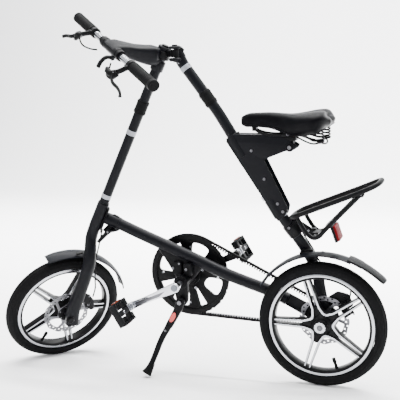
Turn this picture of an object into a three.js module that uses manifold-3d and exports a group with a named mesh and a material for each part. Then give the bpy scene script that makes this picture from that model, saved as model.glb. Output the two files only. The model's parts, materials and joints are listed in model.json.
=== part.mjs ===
// Folding bicycle with a triangular three-tube frame, 16 inch wheels and a toothed belt drive.
// Units are millimetres, +Z is up, -X is the riding direction, +Y is the rider's right.
// The bicycle is drawn upright with the rear contact point at the origin, the front assembly
// turned to its left lock, and the whole then leans onto its side stand.
import * as THREE from 'three';
import Module from 'manifold-3d';
import { mergeVertices } from 'three/addons/utils/BufferGeometryUtils.js';

const wasm = await Module();
wasm.setup();

// ---------------------------------------------------------------- driving dimensions
const LEAN = THREE.MathUtils.degToRad(6.5);
const STEER = THREE.MathUtils.degToRad(50.3);
const HEAD_TILT = THREE.MathUtils.degToRad(26);

const WHEEL_RADIUS = 200;
const TYRE_SECTION = 22;
const RIM_OUTER = 166;
const RIM_INNER = 146;
const ROTOR_RADIUS = 80;
const SPOKES = 5;
const AXLE_RADIUS = 8;

const REAR_HUB = new THREE.Vector3(0, 0, 200);
const AXIS_FOOT = new THREE.Vector3(-897, 0, 200);
const AXIS_UP = new THREE.Vector3(Math.sin(HEAD_TILT), 0, Math.cos(HEAD_TILT));
const FRONT_HUB = new THREE.Vector3(-904.2, 0, 185.3);
const BRACKET = new THREE.Vector3(-450, 0, 312);
const CRANK_LENGTH = 170;
const CRANK_DROP = THREE.MathUtils.degToRad(25);
const PULLEY_RADIUS = 133;
const SPROCKET_RADIUS = PULLEY_RADIUS * 28 / 108;
const BELT_PLANE = 65;
const BELT_WIDTH = 8;
const BELT_THICKNESS = 4.4;

const FRONT_TUBE_RADIUS = 16;
const LEG_RADIUS = 20;
const REAR_TUBE_RADIUS = 17;
const BOTTOM_TUBE_RADIUS = 19;
const BOTTOM_TUBE_SIDE = 20;
const TUBE_SIDE_AT_WHEEL = 45;
const HINGE = new THREE.Vector3(-438, -26, 1037);
const CUP_RADIUS = 27;
const JOURNAL_RADIUS = 20;
const BAR_HALF = 303;
const BAR_RADIUS = 11;
const SLEEVE_HALF = 70;
const BAR_X = -650;
const BAR_Z = 1085;
const RIGHT_LEVER_RAISE = THREE.MathUtils.degToRad(20);
const PEDAL_TILT = THREE.MathUtils.degToRad(60);
const RACK_HALF = 54;
const GAP = 0.3;

// ---------------------------------------------------------------- materials
const finish = (color, roughness, metalness) =>
  new THREE.MeshStandardMaterial({ color, roughness, metalness });
const paint = finish(0x1d1e26, 0.45, 0.35);
const rubber = finish(0x17171a, 0.85, 0.0);
const plastic = finish(0x1a1b20, 0.6, 0.0);
const silver = finish(0xc9cbd0, 0.25, 0.95);
const steel = finish(0xa9abb0, 0.35, 0.9);
const blackMetal = finish(0x202126, 0.4, 0.7);
const leather = finish(0x15161b, 0.35, 0.0);
const red = finish(0x9c1b1f, 0.25, 0.0);
const orange = finish(0xd9642a, 0.3, 0.0);

// ---------------------------------------------------------------- geometry helpers
const vec = (x, y, z) => new THREE.Vector3(x, y, z);

function toSolid(geometry) {
  const bare = geometry.clone();
  bare.deleteAttribute('normal');
  bare.deleteAttribute('uv');
  const welded = mergeVertices(bare, 1e-4);
  return new wasm.Manifold(new wasm.Mesh({
    numProp: 3,
    vertProperties: new Float32Array(welded.attributes.position.array),
    triVerts: new Uint32Array(welded.index.array),
  }));
}

function toGeometry(solid) {
  const mesh = solid.getMesh();
  const geometry = new THREE.BufferGeometry();
  geometry.setAttribute('position', new THREE.BufferAttribute(mesh.vertProperties, 3));
  geometry.setIndex(new THREE.BufferAttribute(mesh.triVerts, 1));
  geometry.computeVertexNormals();
  return geometry;
}

function join(...geometries) {
  return toGeometry(geometries.map(toSolid).reduce((sum, part) => sum.add(part)));
}

function cut(base, ...tools) {
  return toGeometry(tools.map(toSolid).reduce((left, tool) => left.subtract(tool), toSolid(base)));
}

// Round tube that follows a smooth curve through the given points.
function tube(points, radius, steps = 14, sides = 12) {
  const curve = new THREE.CatmullRomCurve3(points, false, 'centripetal');
  const section = new THREE.Shape().absarc(0, 0, radius, 0, Math.PI * 2, false);
  return new THREE.ExtrudeGeometry(section, {
    steps, curveSegments: sides / 2, bevelEnabled: false, extrudePath: curve,
  });
}

// Straight round bar between two points.
function rod(from, to, radius, sides = 14, endRadius = radius) {
  const length = from.distanceTo(to);
  const geometry = new THREE.CylinderGeometry(endRadius, radius, length, sides);
  geometry.translate(0, length / 2, 0);
  geometry.applyQuaternion(new THREE.Quaternion().setFromUnitVectors(
    vec(0, 1, 0), to.clone().sub(from).normalize()));
  return geometry.translate(from.x, from.y, from.z);
}

// Cylinder whose axis runs across the bicycle, from side y0 to side y1.
const common = (first, second) => toGeometry(toSolid(first).intersect(toSolid(second)));

const cross = (center, y0, y1, radius, sides = 18) =>
  rod(vec(center.x, y0, center.z), vec(center.x, y1, center.z), radius, sides);

// Body of revolution about a cross-wise axis; the profile lists [radius, y] pairs.
function turned(profile, center, segments = 48) {
  const points = profile.map(([radius, y]) => new THREE.Vector2(radius, y));
  const geometry = new THREE.LatheGeometry(points, segments);
  return geometry.translate(center.x, center.y, center.z);
}

// Flat plate cut from a side-view outline of [x, z] points, spanning y0 to y1.
function plate(outline, y0, y1, holes = []) {
  const shape = new THREE.Shape(outline.map(([x, z]) => new THREE.Vector2(x, z)));
  holes.forEach(([x, z, radius]) =>
    shape.holes.push(new THREE.Path().absarc(x, z, radius, 0, Math.PI * 2, true)));
  const geometry = new THREE.ExtrudeGeometry(shape, {
    depth: y1 - y0, bevelEnabled: false, curveSegments: 10,
  });
  return geometry.rotateX(Math.PI / 2).translate(0, y1, 0);
}

const block = (center, sx, sy, sz) =>
  new THREE.BoxGeometry(sx, sy, sz).translate(center.x, center.y, center.z);

// Point on the steering axis at a distance above its foot.
const onAxis = (s) => AXIS_FOOT.clone().addScaledVector(AXIS_UP, s);
const axisAtHeight = (z) => onAxis((z - AXIS_FOOT.z) / AXIS_UP.z);
// Point beside the handlebar: distance along the bar, then forward of it and below it.
const barAt = (l, forward = 0, down = 0) => vec(BAR_X - forward, l, BAR_Z - down);

// ---------------------------------------------------------------- assembly tree
const bicycle = new THREE.Group();
bicycle.name = 'folding_bicycle';
const upright = new THREE.Group();
const steered = new THREE.Group();
steered.position.copy(AXIS_FOOT);
steered.quaternion.setFromAxisAngle(AXIS_UP, STEER);
const steeredOrigin = new THREE.Group();
steeredOrigin.position.copy(AXIS_FOOT).negate();
steered.add(steeredOrigin);
upright.add(steered);
upright.rotation.x = LEAN;
bicycle.add(upright);

function add(parent, name, geometry, material) {
  const mesh = new THREE.Mesh(geometry, material);
  mesh.name = name;
  parent.add(mesh);
}

// ---------------------------------------------------------------- wheels
function wheel(parent, prefix, hub, phase, rotorSide) {
  const section = [];
  const flat = WHEEL_RADIUS - TYRE_SECTION - RIM_OUTER - GAP;
  const start = Math.acos(-flat / TYRE_SECTION);
  for (let i = 0; i <= 10; i += 1) {
    const angle = -start + (2 * start * i) / 10;
    section.push([WHEEL_RADIUS - TYRE_SECTION + TYRE_SECTION * Math.cos(angle),
      TYRE_SECTION * Math.sin(angle)]);
  }
  section.push(section[0]);
  add(parent, `${prefix}_tyre`, turned(section, hub, 32), rubber);

  const ring = turned([[RIM_INNER, -13], [150, -18], [162, -18], [RIM_OUTER, -13], [RIM_OUTER, 13],
    [162, 18], [150, 18], [RIM_INNER, 13], [RIM_INNER, -13]], hub, 32);
  const barrel = cross(hub, -34, 34, 22);
  const parts = [ring, barrel];
  for (let i = 0; i < SPOKES; i += 1) {
    const angle = phase + (i * Math.PI * 2) / SPOKES;
    for (const side of [-1, 1]) {
      const rib = new THREE.BoxGeometry(RIM_INNER - 10, 24, 7);
      rib.translate(RIM_INNER / 2 + 10, 0, side * 10);
      rib.rotateY(-angle);
      parts.push(rib.translate(hub.x, hub.y, hub.z));
    }
  }
  const cap = cross(hub, -rotorSide * 38, -rotorSide * 33, 18);
  const solid = cut(join(...parts, cap), cross(hub, -35, 35, AXLE_RADIUS + GAP, 20));
  add(parent, `${prefix}_rim`, solid, blackMetal);

  const disc = cross(hub, rotorSide * 36.4 - 1, rotorSide * 36.4 + 1, ROTOR_RADIUS, 30);
  const windows = [];
  for (let i = 0; i < 6; i += 1) {
    const outline = [];
    for (const [radius, turn] of [[62, 0.14], [64, 0.52], [62, 0.9], [30, 0.8], [30, 0.26]]) {
      const angle = (i * Math.PI) / 3 + turn;
      outline.push([hub.x + radius * Math.cos(angle), hub.z + radius * Math.sin(angle)]);
    }
    windows.push(plate(outline, -50, 50));
  }
  const rotor = cut(disc, ...windows, cross(hub, -50, 50, AXLE_RADIUS + 1, 20));
  add(parent, `${prefix}_rotor`, rotor, silver);
}

const rearPhase = Math.PI;
const frontPhase = THREE.MathUtils.degToRad(128);
wheel(upright, 'rear', REAR_HUB, rearPhase, 1);
wheel(steeredOrigin, 'front', FRONT_HUB, frontPhase, -1);

// Curved sheet guard that follows a tyre between two angles measured from the rear.
function guard(hub, inner, outer, from, to, halfWidth, steps) {
  const outline = [];
  for (let i = 0; i <= steps; i += 1) {
    const angle = THREE.MathUtils.degToRad(from + ((to - from) * i) / steps);
    outline.push([hub.x + outer * Math.cos(angle), hub.z + outer * Math.sin(angle)]);
  }
  for (let i = steps; i >= 0; i -= 1) {
    const angle = THREE.MathUtils.degToRad(from + ((to - from) * i) / steps);
    outline.push([hub.x + inner * Math.cos(angle), hub.z + inner * Math.sin(angle)]);
  }
  return plate(outline, -halfWidth, halfWidth);
}

// Two-piece brake caliper straddling the rotor, with a mounting arm on the frame side.
function caliper(center, angle, side) {
  const body = new THREE.BoxGeometry(26, 22, 46);
  body.translate(0, side * 36.4, 0);
  const slot = new THREE.BoxGeometry(60, 4.4, 60).translate(0, side * 36.4, 0);
  slot.translate(-20, 0, 0);
  const inner = cut(body, slot);
  const knob = rod(vec(4, side * 29, 0), vec(4, side * 22, 0), 11, 14);
  const barrel = rod(vec(8, side * 43, -26), vec(8, side * 43, 30), 4, 10);
  const whole = join(inner, barrel, knob);
  whole.rotateY(-angle);
  return whole.translate(center.x, 0, center.z);
}

// ---------------------------------------------------------------- rear frame
const rearPath = [vec(-411.6, 0, 1013.4), vec(-398, 0, 992), vec(-342, 0, 900), vec(-200, 0, 668),
  vec(-116, 2, 531), vec(-97, 9, 500), vec(-79, 20, 471), vec(-52, 38, 420),
  vec(-32, TUBE_SIDE_AT_WHEEL, 375), vec(-24, TUBE_SIDE_AT_WHEEL, 345)];
const rearTubeRoom = tube(rearPath, REAR_TUBE_RADIUS + 0.6, 20, 14);
const rearTube = join(
  tube(rearPath, REAR_TUBE_RADIUS, 20, 14),
  rod(vec(-351, 0, 915), vec(-330, 0, 880), REAR_TUBE_RADIUS + 2.5, 16),
);
add(upright, 'rear_tube', rearTube, paint);

const dropout = cut(join(
  plate([[-42, 366], [-6, 366], [4, 300], [18, 214], [16, 184], [-14, 182], [-20, 214], [-30, 300]],
    40, 49),
  cross(REAR_HUB, 39, 49, 24),
  plate([[0, 262], [40, 292], [74, 284], [88, 250], [70, 238], [40, 248], [18, 238], [6, 242]],
    47.8, 53),
), cross(REAR_HUB, 30, 60, AXLE_RADIUS + GAP, 20), rearTubeRoom);
add(upright, 'rear_dropout', dropout, paint);
add(upright, 'rear_axle', cross(REAR_HUB, -32, 72, AXLE_RADIUS, 20), steel);
add(upright, 'rear_caliper', caliper(vec(64, 0, 239), Math.atan2(39, 64), 1), blackMetal);

const rearGuard = cut(join(
  guard(REAR_HUB, 224, 228, 68, 149, 27, 14),
  guard(REAR_HUB, 226, 231, 37, 70, 24, 6),
  block(vec(-48, 16, 426), 26, 26, 16),
), rearTubeRoom, block(vec(-180, 31, 340), 90, 20, 80));
add(upright, 'rear_fender', rearGuard, plastic);

// Hinge yoke: two ears above and below the upright fold pin, on a neck that caps the rear tube.
const neckEnd = vec(-413.9, 0, 1016.9);
const tubeHeading = rearPath[1].clone().sub(rearPath[0]).normalize();
const yoke = cut(join(
  rod(vec(HINGE.x, HINGE.y, 1013), vec(HINGE.x, HINGE.y, 1060), 11, 20),
  rod(vec(HINGE.x, HINGE.y, 1043), vec(-404, 6, 1010), REAR_TUBE_RADIUS + 2, 16),
), block(vec(-37, 0, 0), 100, 100, 24.6).rotateZ(THREE.MathUtils.degToRad(48))
  .translate(HINGE.x, HINGE.y, HINGE.z),
rod(neckEnd, neckEnd.clone().addScaledVector(tubeHeading, 60), 60, 16));
add(upright, 'apex_yoke', yoke, paint);

// ---------------------------------------------------------------- rear rack and reflector
const RACK_RADIUS = 7.5;
const STRUT_SIDE = RACK_HALF - 6;
const rackLoop = (y) => [vec(-84, y * 0.5, 541), vec(-66, y * 0.93, 550), vec(-40, y, 561),
  vec(120, y * 0.95, 624), vec(152, y * 0.85, 637)];
const rack = join(
  tube([...rackLoop(-RACK_HALF), vec(168, -30, 645), vec(176, 0, 650), vec(168, 30, 645),
    ...rackLoop(RACK_HALF).reverse()], RACK_RADIUS, 22, 8),
  rod(vec(-84, -28, 541), vec(-84, 28, 541), RACK_RADIUS, 12),
  ...[-STRUT_SIDE, STRUT_SIDE].map((y) => tube([vec(-62, y, 545), vec(-45, y, 514), vec(-22, y, 490),
    vec(-4, y, 489), vec(20, y, 510), vec(126, y, 622)], RACK_RADIUS - 1, 8, 7)),
  rod(vec(-12, -STRUT_SIDE, 486), vec(-12, STRUT_SIDE, 486), RACK_RADIUS - 1, 12),
);
add(upright, 'rack_frame', rack, paint);

const tubeAt = (z) => vec(-342 + (900 - z) * 0.613, 0, z);
const rackClamp = cut(join(
  rod(vec(-101, 6, 512), vec(-80, 19, 478), 23, 16),
  block(vec(-52, 14, 494), 70, 16, 14),
  rod(vec(-80, 16, 500), vec(-80, 16, 536), 6, 10),
  block(vec(-14, 0, 488), 20, 44, 16),
), rearTubeRoom, rod(vec(-84, -50, 541), vec(-84, 50, 541), RACK_RADIUS + GAP, 12),
rod(vec(-12, -60, 486), vec(-12, 60, 486), RACK_RADIUS + GAP, 12));
add(upright, 'rack_clamp', rackClamp, blackMetal);

const housing = block(vec(0, 0, 0), 8, 66, 52).rotateY(-0.32).translate(44, 0, 494);
const stay = block(vec(30, 0, 519), 22, 2 * STRUT_SIDE, 5);
add(upright, 'reflector_housing', cut(join(housing, stay),
  ...[-STRUT_SIDE, STRUT_SIDE].map((y) =>
  rod(vec(-4, y, 485.4), vec(126, y, 623), RACK_RADIUS + 1, 10))), plastic);
add(upright, 'reflector_lens',
  block(vec(7.6, 0, 0), 6, 60, 46).rotateY(-0.32).translate(44, 0, 494), red);

// ---------------------------------------------------------------- saddle and its height bracket
const sideOutline = [[-295, 773], [-265, 792], [-115, 786], [-67, 753], [-98, 742], [-160, 718],
  [-98, 563], [-104, 540], [-130, 518], [-148, 552]];
const webOutline = [[-291, 770], [-265, 788], [-119, 782], [-113, 770], [-262, 774]];
const bracketShell = join(
  plate(sideOutline, -26, -22.5),
  plate(sideOutline, 22.5, 26),
  plate(webOutline, -24, 24),
  rod(tubeAt(770), tubeAt(735), 24, 16),
  rod(tubeAt(585), tubeAt(545), 24, 16),
  cross(vec(-88, 0, 752), -26, 26, 10),
);
add(upright, 'seat_bracket',
  cut(bracketShell, rearTubeRoom, rod(tubeAt(500), tubeAt(900), REAR_TUBE_RADIUS + 0.8, 20)), paint);

add(upright, 'saddle_clamp', join(
  block(vec(-92, 0, 783.5), 44, 40, 14),
  block(vec(-92, 0, 776), 24, 24, 20).translate(6, 0, 0),
), blackMetal);

const railPath = (side) => [vec(-196, side * 10, 795), vec(-150, side * 20, 794),
  vec(-110, side * 22, 794.3), vec(-60, side * 23, 794.3), vec(-20, side * 38, 798),
  vec(16, side * 52, 803)];
add(upright, 'saddle_rails', join(
  ...[-1, 1].map((side) => tube(railPath(side), 3.6, 8, 6)),
  rod(vec(-196, -14, 795), vec(-196, 14, 795), 5, 12),
  rod(vec(14, -56, 803), vec(14, 56, 803), 4.4, 10),
), steel);

function saddleOutline(inset) {
  const shape = new THREE.Shape();
  shape.moveTo(-240 + inset, 0);
  shape.bezierCurveTo(-240 + inset, 24 - inset, -200, 24 - inset, -150, 30 - inset);
  shape.bezierCurveTo(-90, 40 - inset, -60, 78 - inset, -18, 92 - inset);
  shape.bezierCurveTo(20, 100 - inset, 40 - inset, 78 - inset, 41 - inset, 46);
  shape.bezierCurveTo(42 - inset, 24, 34 - inset, 12, 34 - inset, 0);
  shape.bezierCurveTo(34 - inset, -12, 42 - inset, -24, 41 - inset, -46);
  shape.bezierCurveTo(40 - inset, -78 + inset, 20, -100 + inset, -18, -92 + inset);
  shape.bezierCurveTo(-60, -78 + inset, -90, -40 + inset, -150, -30 + inset);
  shape.bezierCurveTo(-200, -24 + inset, -240 + inset, -24 + inset, -240 + inset, 0);
  return shape;
}
const saddleShell = new THREE.ExtrudeGeometry(saddleOutline(16), {
  depth: 5, bevelEnabled: false, curveSegments: 4,
}).rotateY(-0.04).translate(0, 0, 812.4);
add(upright, 'saddle_shell', toGeometry(toSolid(saddleShell)), plastic);
// The padded cover has side skirts, deepest under the sitting area, round a hollow for the rails.
const saddlePad = new THREE.ExtrudeGeometry(saddleOutline(14), {
  depth: 68, bevelEnabled: true, bevelThickness: 14, bevelSize: 13, bevelSegments: 2, curveSegments: 5,
}).rotateY(-0.04).translate(0, 0, 778);
const saddleSide = plate([[-250, 816], [-238, 807], [-176, 804], [-112, 791], [-70, 776], [-6, 781],
  [24, 800], [50, 818], [50, 880], [-250, 880]], -110, 110);
const saddleHollow = new THREE.ExtrudeGeometry(saddleOutline(10), {
  depth: 78, bevelEnabled: false, curveSegments: 5,
}).rotateY(-0.04).translate(0, 0, 740);
const shellRoom = new THREE.ExtrudeGeometry(saddleOutline(15), {
  depth: 6.4, bevelEnabled: false, curveSegments: 4,
}).rotateY(-0.04).translate(0, 0, 811.8);
add(upright, 'saddle_cover', cut(common(saddlePad, saddleSide), shellRoom,
  common(saddleHollow, block(vec(-100, 0, 780), 400, 122, 100))), leather);

// ---------------------------------------------------------------- bottom tube
const bottomPath = [vec(-694, BOTTOM_TUBE_SIDE, 492), vec(-606, BOTTOM_TUBE_SIDE, 455.5),
  vec(-500, BOTTOM_TUBE_SIDE, 413.5), vec(-399, BOTTOM_TUBE_SIDE, 373), vec(-330, 24, 346),
  vec(-270, 33, 322), vec(-200, 43, 293), vec(-160, 46, 276), vec(-118, 46, 256)];
const bottomTube = cut(join(
  tube(bottomPath, BOTTOM_TUBE_RADIUS, 14, 14),
  plate([[-132, 282], [-10, 222], [14, 214], [22, 196], [10, 178], [-14, 180], [-128, 238]], 50, 58.2),
  cross(REAR_HUB, 50, 58.2, 23),
  cross(BRACKET, -34, 56, 21),
  plate([[-560, 440], [-380, 368], [-426, 312], [-474, 306], [-512, 372]], 7, 33),
  plate([[-474, 320], [-428, 320], [-432, 246], [-449, 238], [-466, 246]], -33, -14),
), cross(REAR_HUB, 30, 70, AXLE_RADIUS + GAP, 20), cross(BRACKET, -40, 60, 9 + GAP, 20),
cross(vec(-449, 0, 252), -60, 0, 5 + GAP, 16),
cross(REAR_HUB, 34, 49.6, 30),
cut(cross(REAR_HUB, 33, 49.6, 86), cross(REAR_HUB, 30, 52, 29.9)));
add(upright, 'bottom_tube', bottomTube, paint);

// Quarter cup behind and to the right of the steering journal. It is open to the front and its
// bore is eased to the rear so the bottom tube can lift away, and it is open to the left so the
// front tube can swing out.
const FORK_POINT = axisAtHeight(511);
const journalClear = rod(axisAtHeight(440), axisAtHeight(580), JOURNAL_RADIUS + 0.8, 24);
const alongAxis = new THREE.Quaternion().setFromUnitVectors(vec(0, 0, 1), AXIS_UP);
const openSide = (turn) => block(vec(-60, 0, 0), 120, 240, 240).rotateZ(turn)
  .applyQuaternion(alongAxis).translate(FORK_POINT.x, FORK_POINT.y, FORK_POINT.z);
const liftRoom = [2, 4, 6, 8].map((turn) => journalClear.clone().translate(0, 0, -REAR_HUB.z)
  .rotateY(-THREE.MathUtils.degToRad(turn)).translate(0, 0, REAR_HUB.z));
const bottomNose = rod(vec(-694.3, 20, 492.2), vec(-606, 20, 455.5), BOTTOM_TUBE_RADIUS + GAP + 0.4, 24);
add(upright, 'steering_cup', cut(join(
  rod(axisAtHeight(466), axisAtHeight(548), CUP_RADIUS, 24),
  plate([[-742, 540], [-700, 516], [-676, 508], [-684, 462], [-722, 452], [-757, 474]], 12, 24),
  cross(vec(-706, 0, 464), -8, 20, 7, 16),
), journalClear, ...liftRoom, openSide(0), openSide(THREE.MathUtils.degToRad(112)), bottomNose),
blackMetal);

add(upright, 'latch_lever', cut(join(
  cross(vec(-706, 0, 464), -18, -8.6, 8, 16),
  plate([[-711, 468], [-700, 460], [-742, 426], [-749, 431]], -17, -11),
), cross(vec(-706, 0, 464), -30, 30, 2.6, 12)), blackMetal);

// Toothed belt drawn as a smooth band around the pulley and the rear sprocket.
function beltOutline(pulleyRadius, sprocketRadius) {
  const dx = REAR_HUB.x - BRACKET.x;
  const dz = REAR_HUB.z - BRACKET.z;
  const heading = Math.atan2(dz, dx);
  const wrap = Math.acos((pulleyRadius - sprocketRadius) / Math.hypot(dx, dz));
  const points = [];
  const arc = (cx, cz, radius, from, to, steps) => {
    for (let i = 0; i <= steps; i += 1) {
      const angle = from + ((to - from) * i) / steps;
      points.push([cx + radius * Math.cos(angle), cz + radius * Math.sin(angle)]);
    }
  };
  arc(BRACKET.x, BRACKET.z, pulleyRadius, heading + wrap, heading + 2 * Math.PI - wrap, 32);
  arc(REAR_HUB.x, REAR_HUB.z, sprocketRadius, heading - wrap, heading + wrap, 10);
  return points;
}
const clearance = 0.5;
const beltInside = plate(beltOutline(PULLEY_RADIUS + clearance, SPROCKET_RADIUS + clearance), 0, 100);
const beltOutside = plate(beltOutline(PULLEY_RADIUS + clearance + BELT_THICKNESS,
  SPROCKET_RADIUS + clearance + BELT_THICKNESS), BELT_PLANE - BELT_WIDTH / 2,
BELT_PLANE + BELT_WIDTH / 2);
add(upright, 'belt', cut(beltOutside, beltInside), rubber);

add(upright, 'rear_sprocket', cut(turned([[0, 59.6], [SPROCKET_RADIUS, 59.6], [SPROCKET_RADIUS, 69.4],
  [20, 70], [16, 71], [0, 71], [0, 59.6]], REAR_HUB, 22),
cross(REAR_HUB, 40, 90, AXLE_RADIUS + GAP, 20)), blackMetal);

// ---------------------------------------------------------------- crankset
add(upright, 'crank_spindle', cross(BRACKET, -90, 90, 9, 20), steel);
const pulleyHoles = [];
for (let i = 0; i < 6; i += 1) {
  const angle = (i * Math.PI) / 3 + 0.35;
  pulleyHoles.push([BRACKET.x + 80 * Math.cos(angle), BRACKET.z + 80 * Math.sin(angle), 27]);
}
const pulleyRim = cross(BRACKET, BELT_PLANE - 4.4, BELT_PLANE + 4.4, PULLEY_RADIUS, 40);
const pulleyBores = pulleyHoles.map(([x, z, radius]) => cross(vec(x, 0, z), 50, 80, radius, 12));
add(upright, 'drive_pulley', cut(pulleyRim, cross(BRACKET, 50, 80, 9 + GAP, 20), ...pulleyBores),
  blackMetal);

function crankArm(side) {
  const inner = side < 0 ? -90 : 74;
  const outer = side < 0 ? -77 : 88;
  const length = CRANK_LENGTH;
  const arm = new THREE.Shape();
  arm.absarc(0, 0, 16, Math.PI / 2, (3 * Math.PI) / 2, false);
  arm.lineTo(length, -12);
  arm.absarc(length, 0, 12, -Math.PI / 2, Math.PI / 2, false);
  arm.lineTo(0, 16);
  const low = Math.min(inner, outer);
  const high = Math.max(inner, outer);
  const body = new THREE.ExtrudeGeometry(arm, {
    depth: high - low, bevelEnabled: false, curveSegments: 7,
  }).rotateX(Math.PI / 2).translate(0, high, 0);
  const whole = cut(body, cross(vec(0, 0, 0), -100, 100, 9 + GAP, 20),
    cross(vec(length, 0, 0), -100, 100, 5 + GAP, 16));
  whole.rotateY(side < 0 ? Math.PI - CRANK_DROP : -CRANK_DROP);
  return whole.translate(BRACKET.x, 0, BRACKET.z);
}
add(upright, 'crank_left', crankArm(-1), silver);
add(upright, 'crank_right', crankArm(1), blackMetal);

// Folding pedals: a pivot block that spins on the crank end, with a fore-and-aft pin that the
// platform folds up on.
for (const [word, side] of [['left', -1], ['right', 1]]) {
  const reach = CRANK_LENGTH * side;
  const end = vec(BRACKET.x + reach * Math.cos(CRANK_DROP), 0,
    BRACKET.z + reach * Math.sin(CRANK_DROP));
  const y = (offset) => side * offset;
  const tilted = (geometry) => geometry.translate(-end.x, 0, -end.z).rotateY(PEDAL_TILT)
    .translate(end.x, 0, end.z);
  const span = (from, to) => [Math.min(y(from), y(to)), Math.max(y(from), y(to))];
  const knuckle = join(
    cross(end, ...span(72, 104), 5, 16),
    cross(end, ...span(91, 96.6), 14, 24),
    block(vec(end.x, y(102.5), end.z), 22, 13, 18),
    rod(vec(end.x - 12.6, y(110), end.z), vec(end.x + 12.6, y(110), end.z), 4.5, 12),
  );
  add(upright, `pedal_knuckle_${word}`, tilted(knuckle), silver);
  const frame = cut(block(vec(end.x, y(152), end.z), 76, 84, 26),
    block(vec(end.x, y(112), end.z), 26, 16, 60),
    block(vec(end.x - 21, y(156), end.z), 22, 54, 60),
    block(vec(end.x + 21, y(156), end.z), 22, 54, 60));
  add(upright, `pedal_body_${word}`, tilted(frame), plastic);
  add(upright, `pedal_reflector_${word}`, tilted(block(vec(end.x - 40, y(156), end.z), 3, 42, 14)),
    orange);
}

// ---------------------------------------------------------------- side stand
const STAND_PIVOT = vec(-449, -45, 252);
add(upright, 'stand_leg', cut(join(
  cross(STAND_PIVOT, -52, -34, 15, 16),
  tube([vec(-451, -45, 246), vec(-462, -46, 218), vec(-482, -50, 182), vec(-512, -62, 129),
    vec(-530, -82, 78), vec(-541, -102, 43)], 9, 9, 10),
  rod(vec(-456, -46, 230), vec(-500, -56, 150), 11, 12),
), cross(STAND_PIVOT, -60, -20, 5 + GAP, 16)), blackMetal);
add(upright, 'stand_pivot', join(
  cross(STAND_PIVOT, -57, -14, 5, 16),
  cross(STAND_PIVOT, -58, -54.4, 8, 16),
), steel);
const footTip = vec(-550, -117, 22);
add(upright, 'stand_foot', cut(join(
  rod(vec(-539, -98, 50), footTip, 12, 20, 16),
), rod(vec(-530, -82, 78), vec(-542, -104, 40), 10.5, 14)), rubber);

// ---------------------------------------------------------------- front assembly
const frontTube = join(
  rod(axisAtHeight(462), axisAtHeight(1058), FRONT_TUBE_RADIUS, 18),
  tube([axisAtHeight(470), axisAtHeight(458), vec(-783, -12, 436), vec(-797, -38, 408),
    vec(-811, -58, 372), vec(-829, -62, 336), vec(-866, -62, 256), vec(-890, -62, 200),
    vec(-896, -62, 160)], LEG_RADIUS, 13, 13),
  rod(axisAtHeight(905), axisAtHeight(841), FRONT_TUBE_RADIUS + 3, 18),
  rod(axisAtHeight(560), axisAtHeight(452), JOURNAL_RADIUS, 24),
);
add(steeredOrigin, 'front_tube', cut(frontTube, cross(FRONT_HUB, -100, 0, AXLE_RADIUS + GAP, 20)),
  paint);
add(steeredOrigin, 'front_axle', join(
  cross(FRONT_HUB, -88, 32, AXLE_RADIUS, 20), cross(FRONT_HUB, -90, -83, 13, 6)), steel);
add(steeredOrigin, 'front_caliper', caliper(vec(-831, 0, 203), Math.atan2(17.7, 73.2), -1), blackMetal);

const frontGuard = cut(join(
  guard(FRONT_HUB, 219, 223, 18, 99, 24, 24),
  plate([[-684, 278], [-692.2, 254.4], [-683, 226], [-676, 196], [-672, 196], [-679, 228],
    [-688.2, 254.8], [-681, 279]].map(([x, z]) => [x - 8, z]), -24, 24),
  block(vec(-806, -36, 398), 30, 40, 12),
), tube([vec(-783, -12, 436), vec(-797, -38, 408), vec(-811, -58, 372), vec(-829, -62, 336)],
  LEG_RADIUS + 1.2, 8, 14));
add(steeredOrigin, 'front_fender', frontGuard, plastic);

// Swivel: the ring carries the fold pin barrel, the bearing sleeve inside it carries the steering.
const ringLow = axisAtHeight(1024);
const ringHigh = axisAtHeight(1046);
const headRoom = (radius) => rod(axisAtHeight(960), axisAtHeight(1100), radius, 24);
add(upright, 'apex_knuckle', cut(join(
  rod(ringLow, ringHigh, 25.5, 20),
  rod(vec(HINGE.x, HINGE.y, 1025.2), vec(HINGE.x, HINGE.y, 1048.8), 11, 20),
  rod(vec(-480, -3, 1036), HINGE, 8.5, 14),
), headRoom(21 + GAP)), steel);
add(upright, 'head_bearing', cut(rod(ringLow, ringHigh, 21, 24), headRoom(FRONT_TUBE_RADIUS + GAP)),
  steel);

const stemSide = [[-522, 984], [-486, 1056], [-560, 1076], [-634, 1107], [-668, 1100], [-670, 1074],
  [-640, 1062], [-560, 1022]];
const swivelRoom = rod(axisAtHeight(1023), axisAtHeight(1047), 27, 18);
add(steeredOrigin, 'stem', cut(join(
  rod(axisAtHeight(988), axisAtHeight(1056), 19.5, 18),
  plate(stemSide, -26, 26),
  rod(barAt(-52), barAt(52), 20, 16),
), headRoom(FRONT_TUBE_RADIUS + GAP), swivelRoom, rod(barAt(-60), barAt(60), 16 + GAP, 24)), paint);

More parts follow.
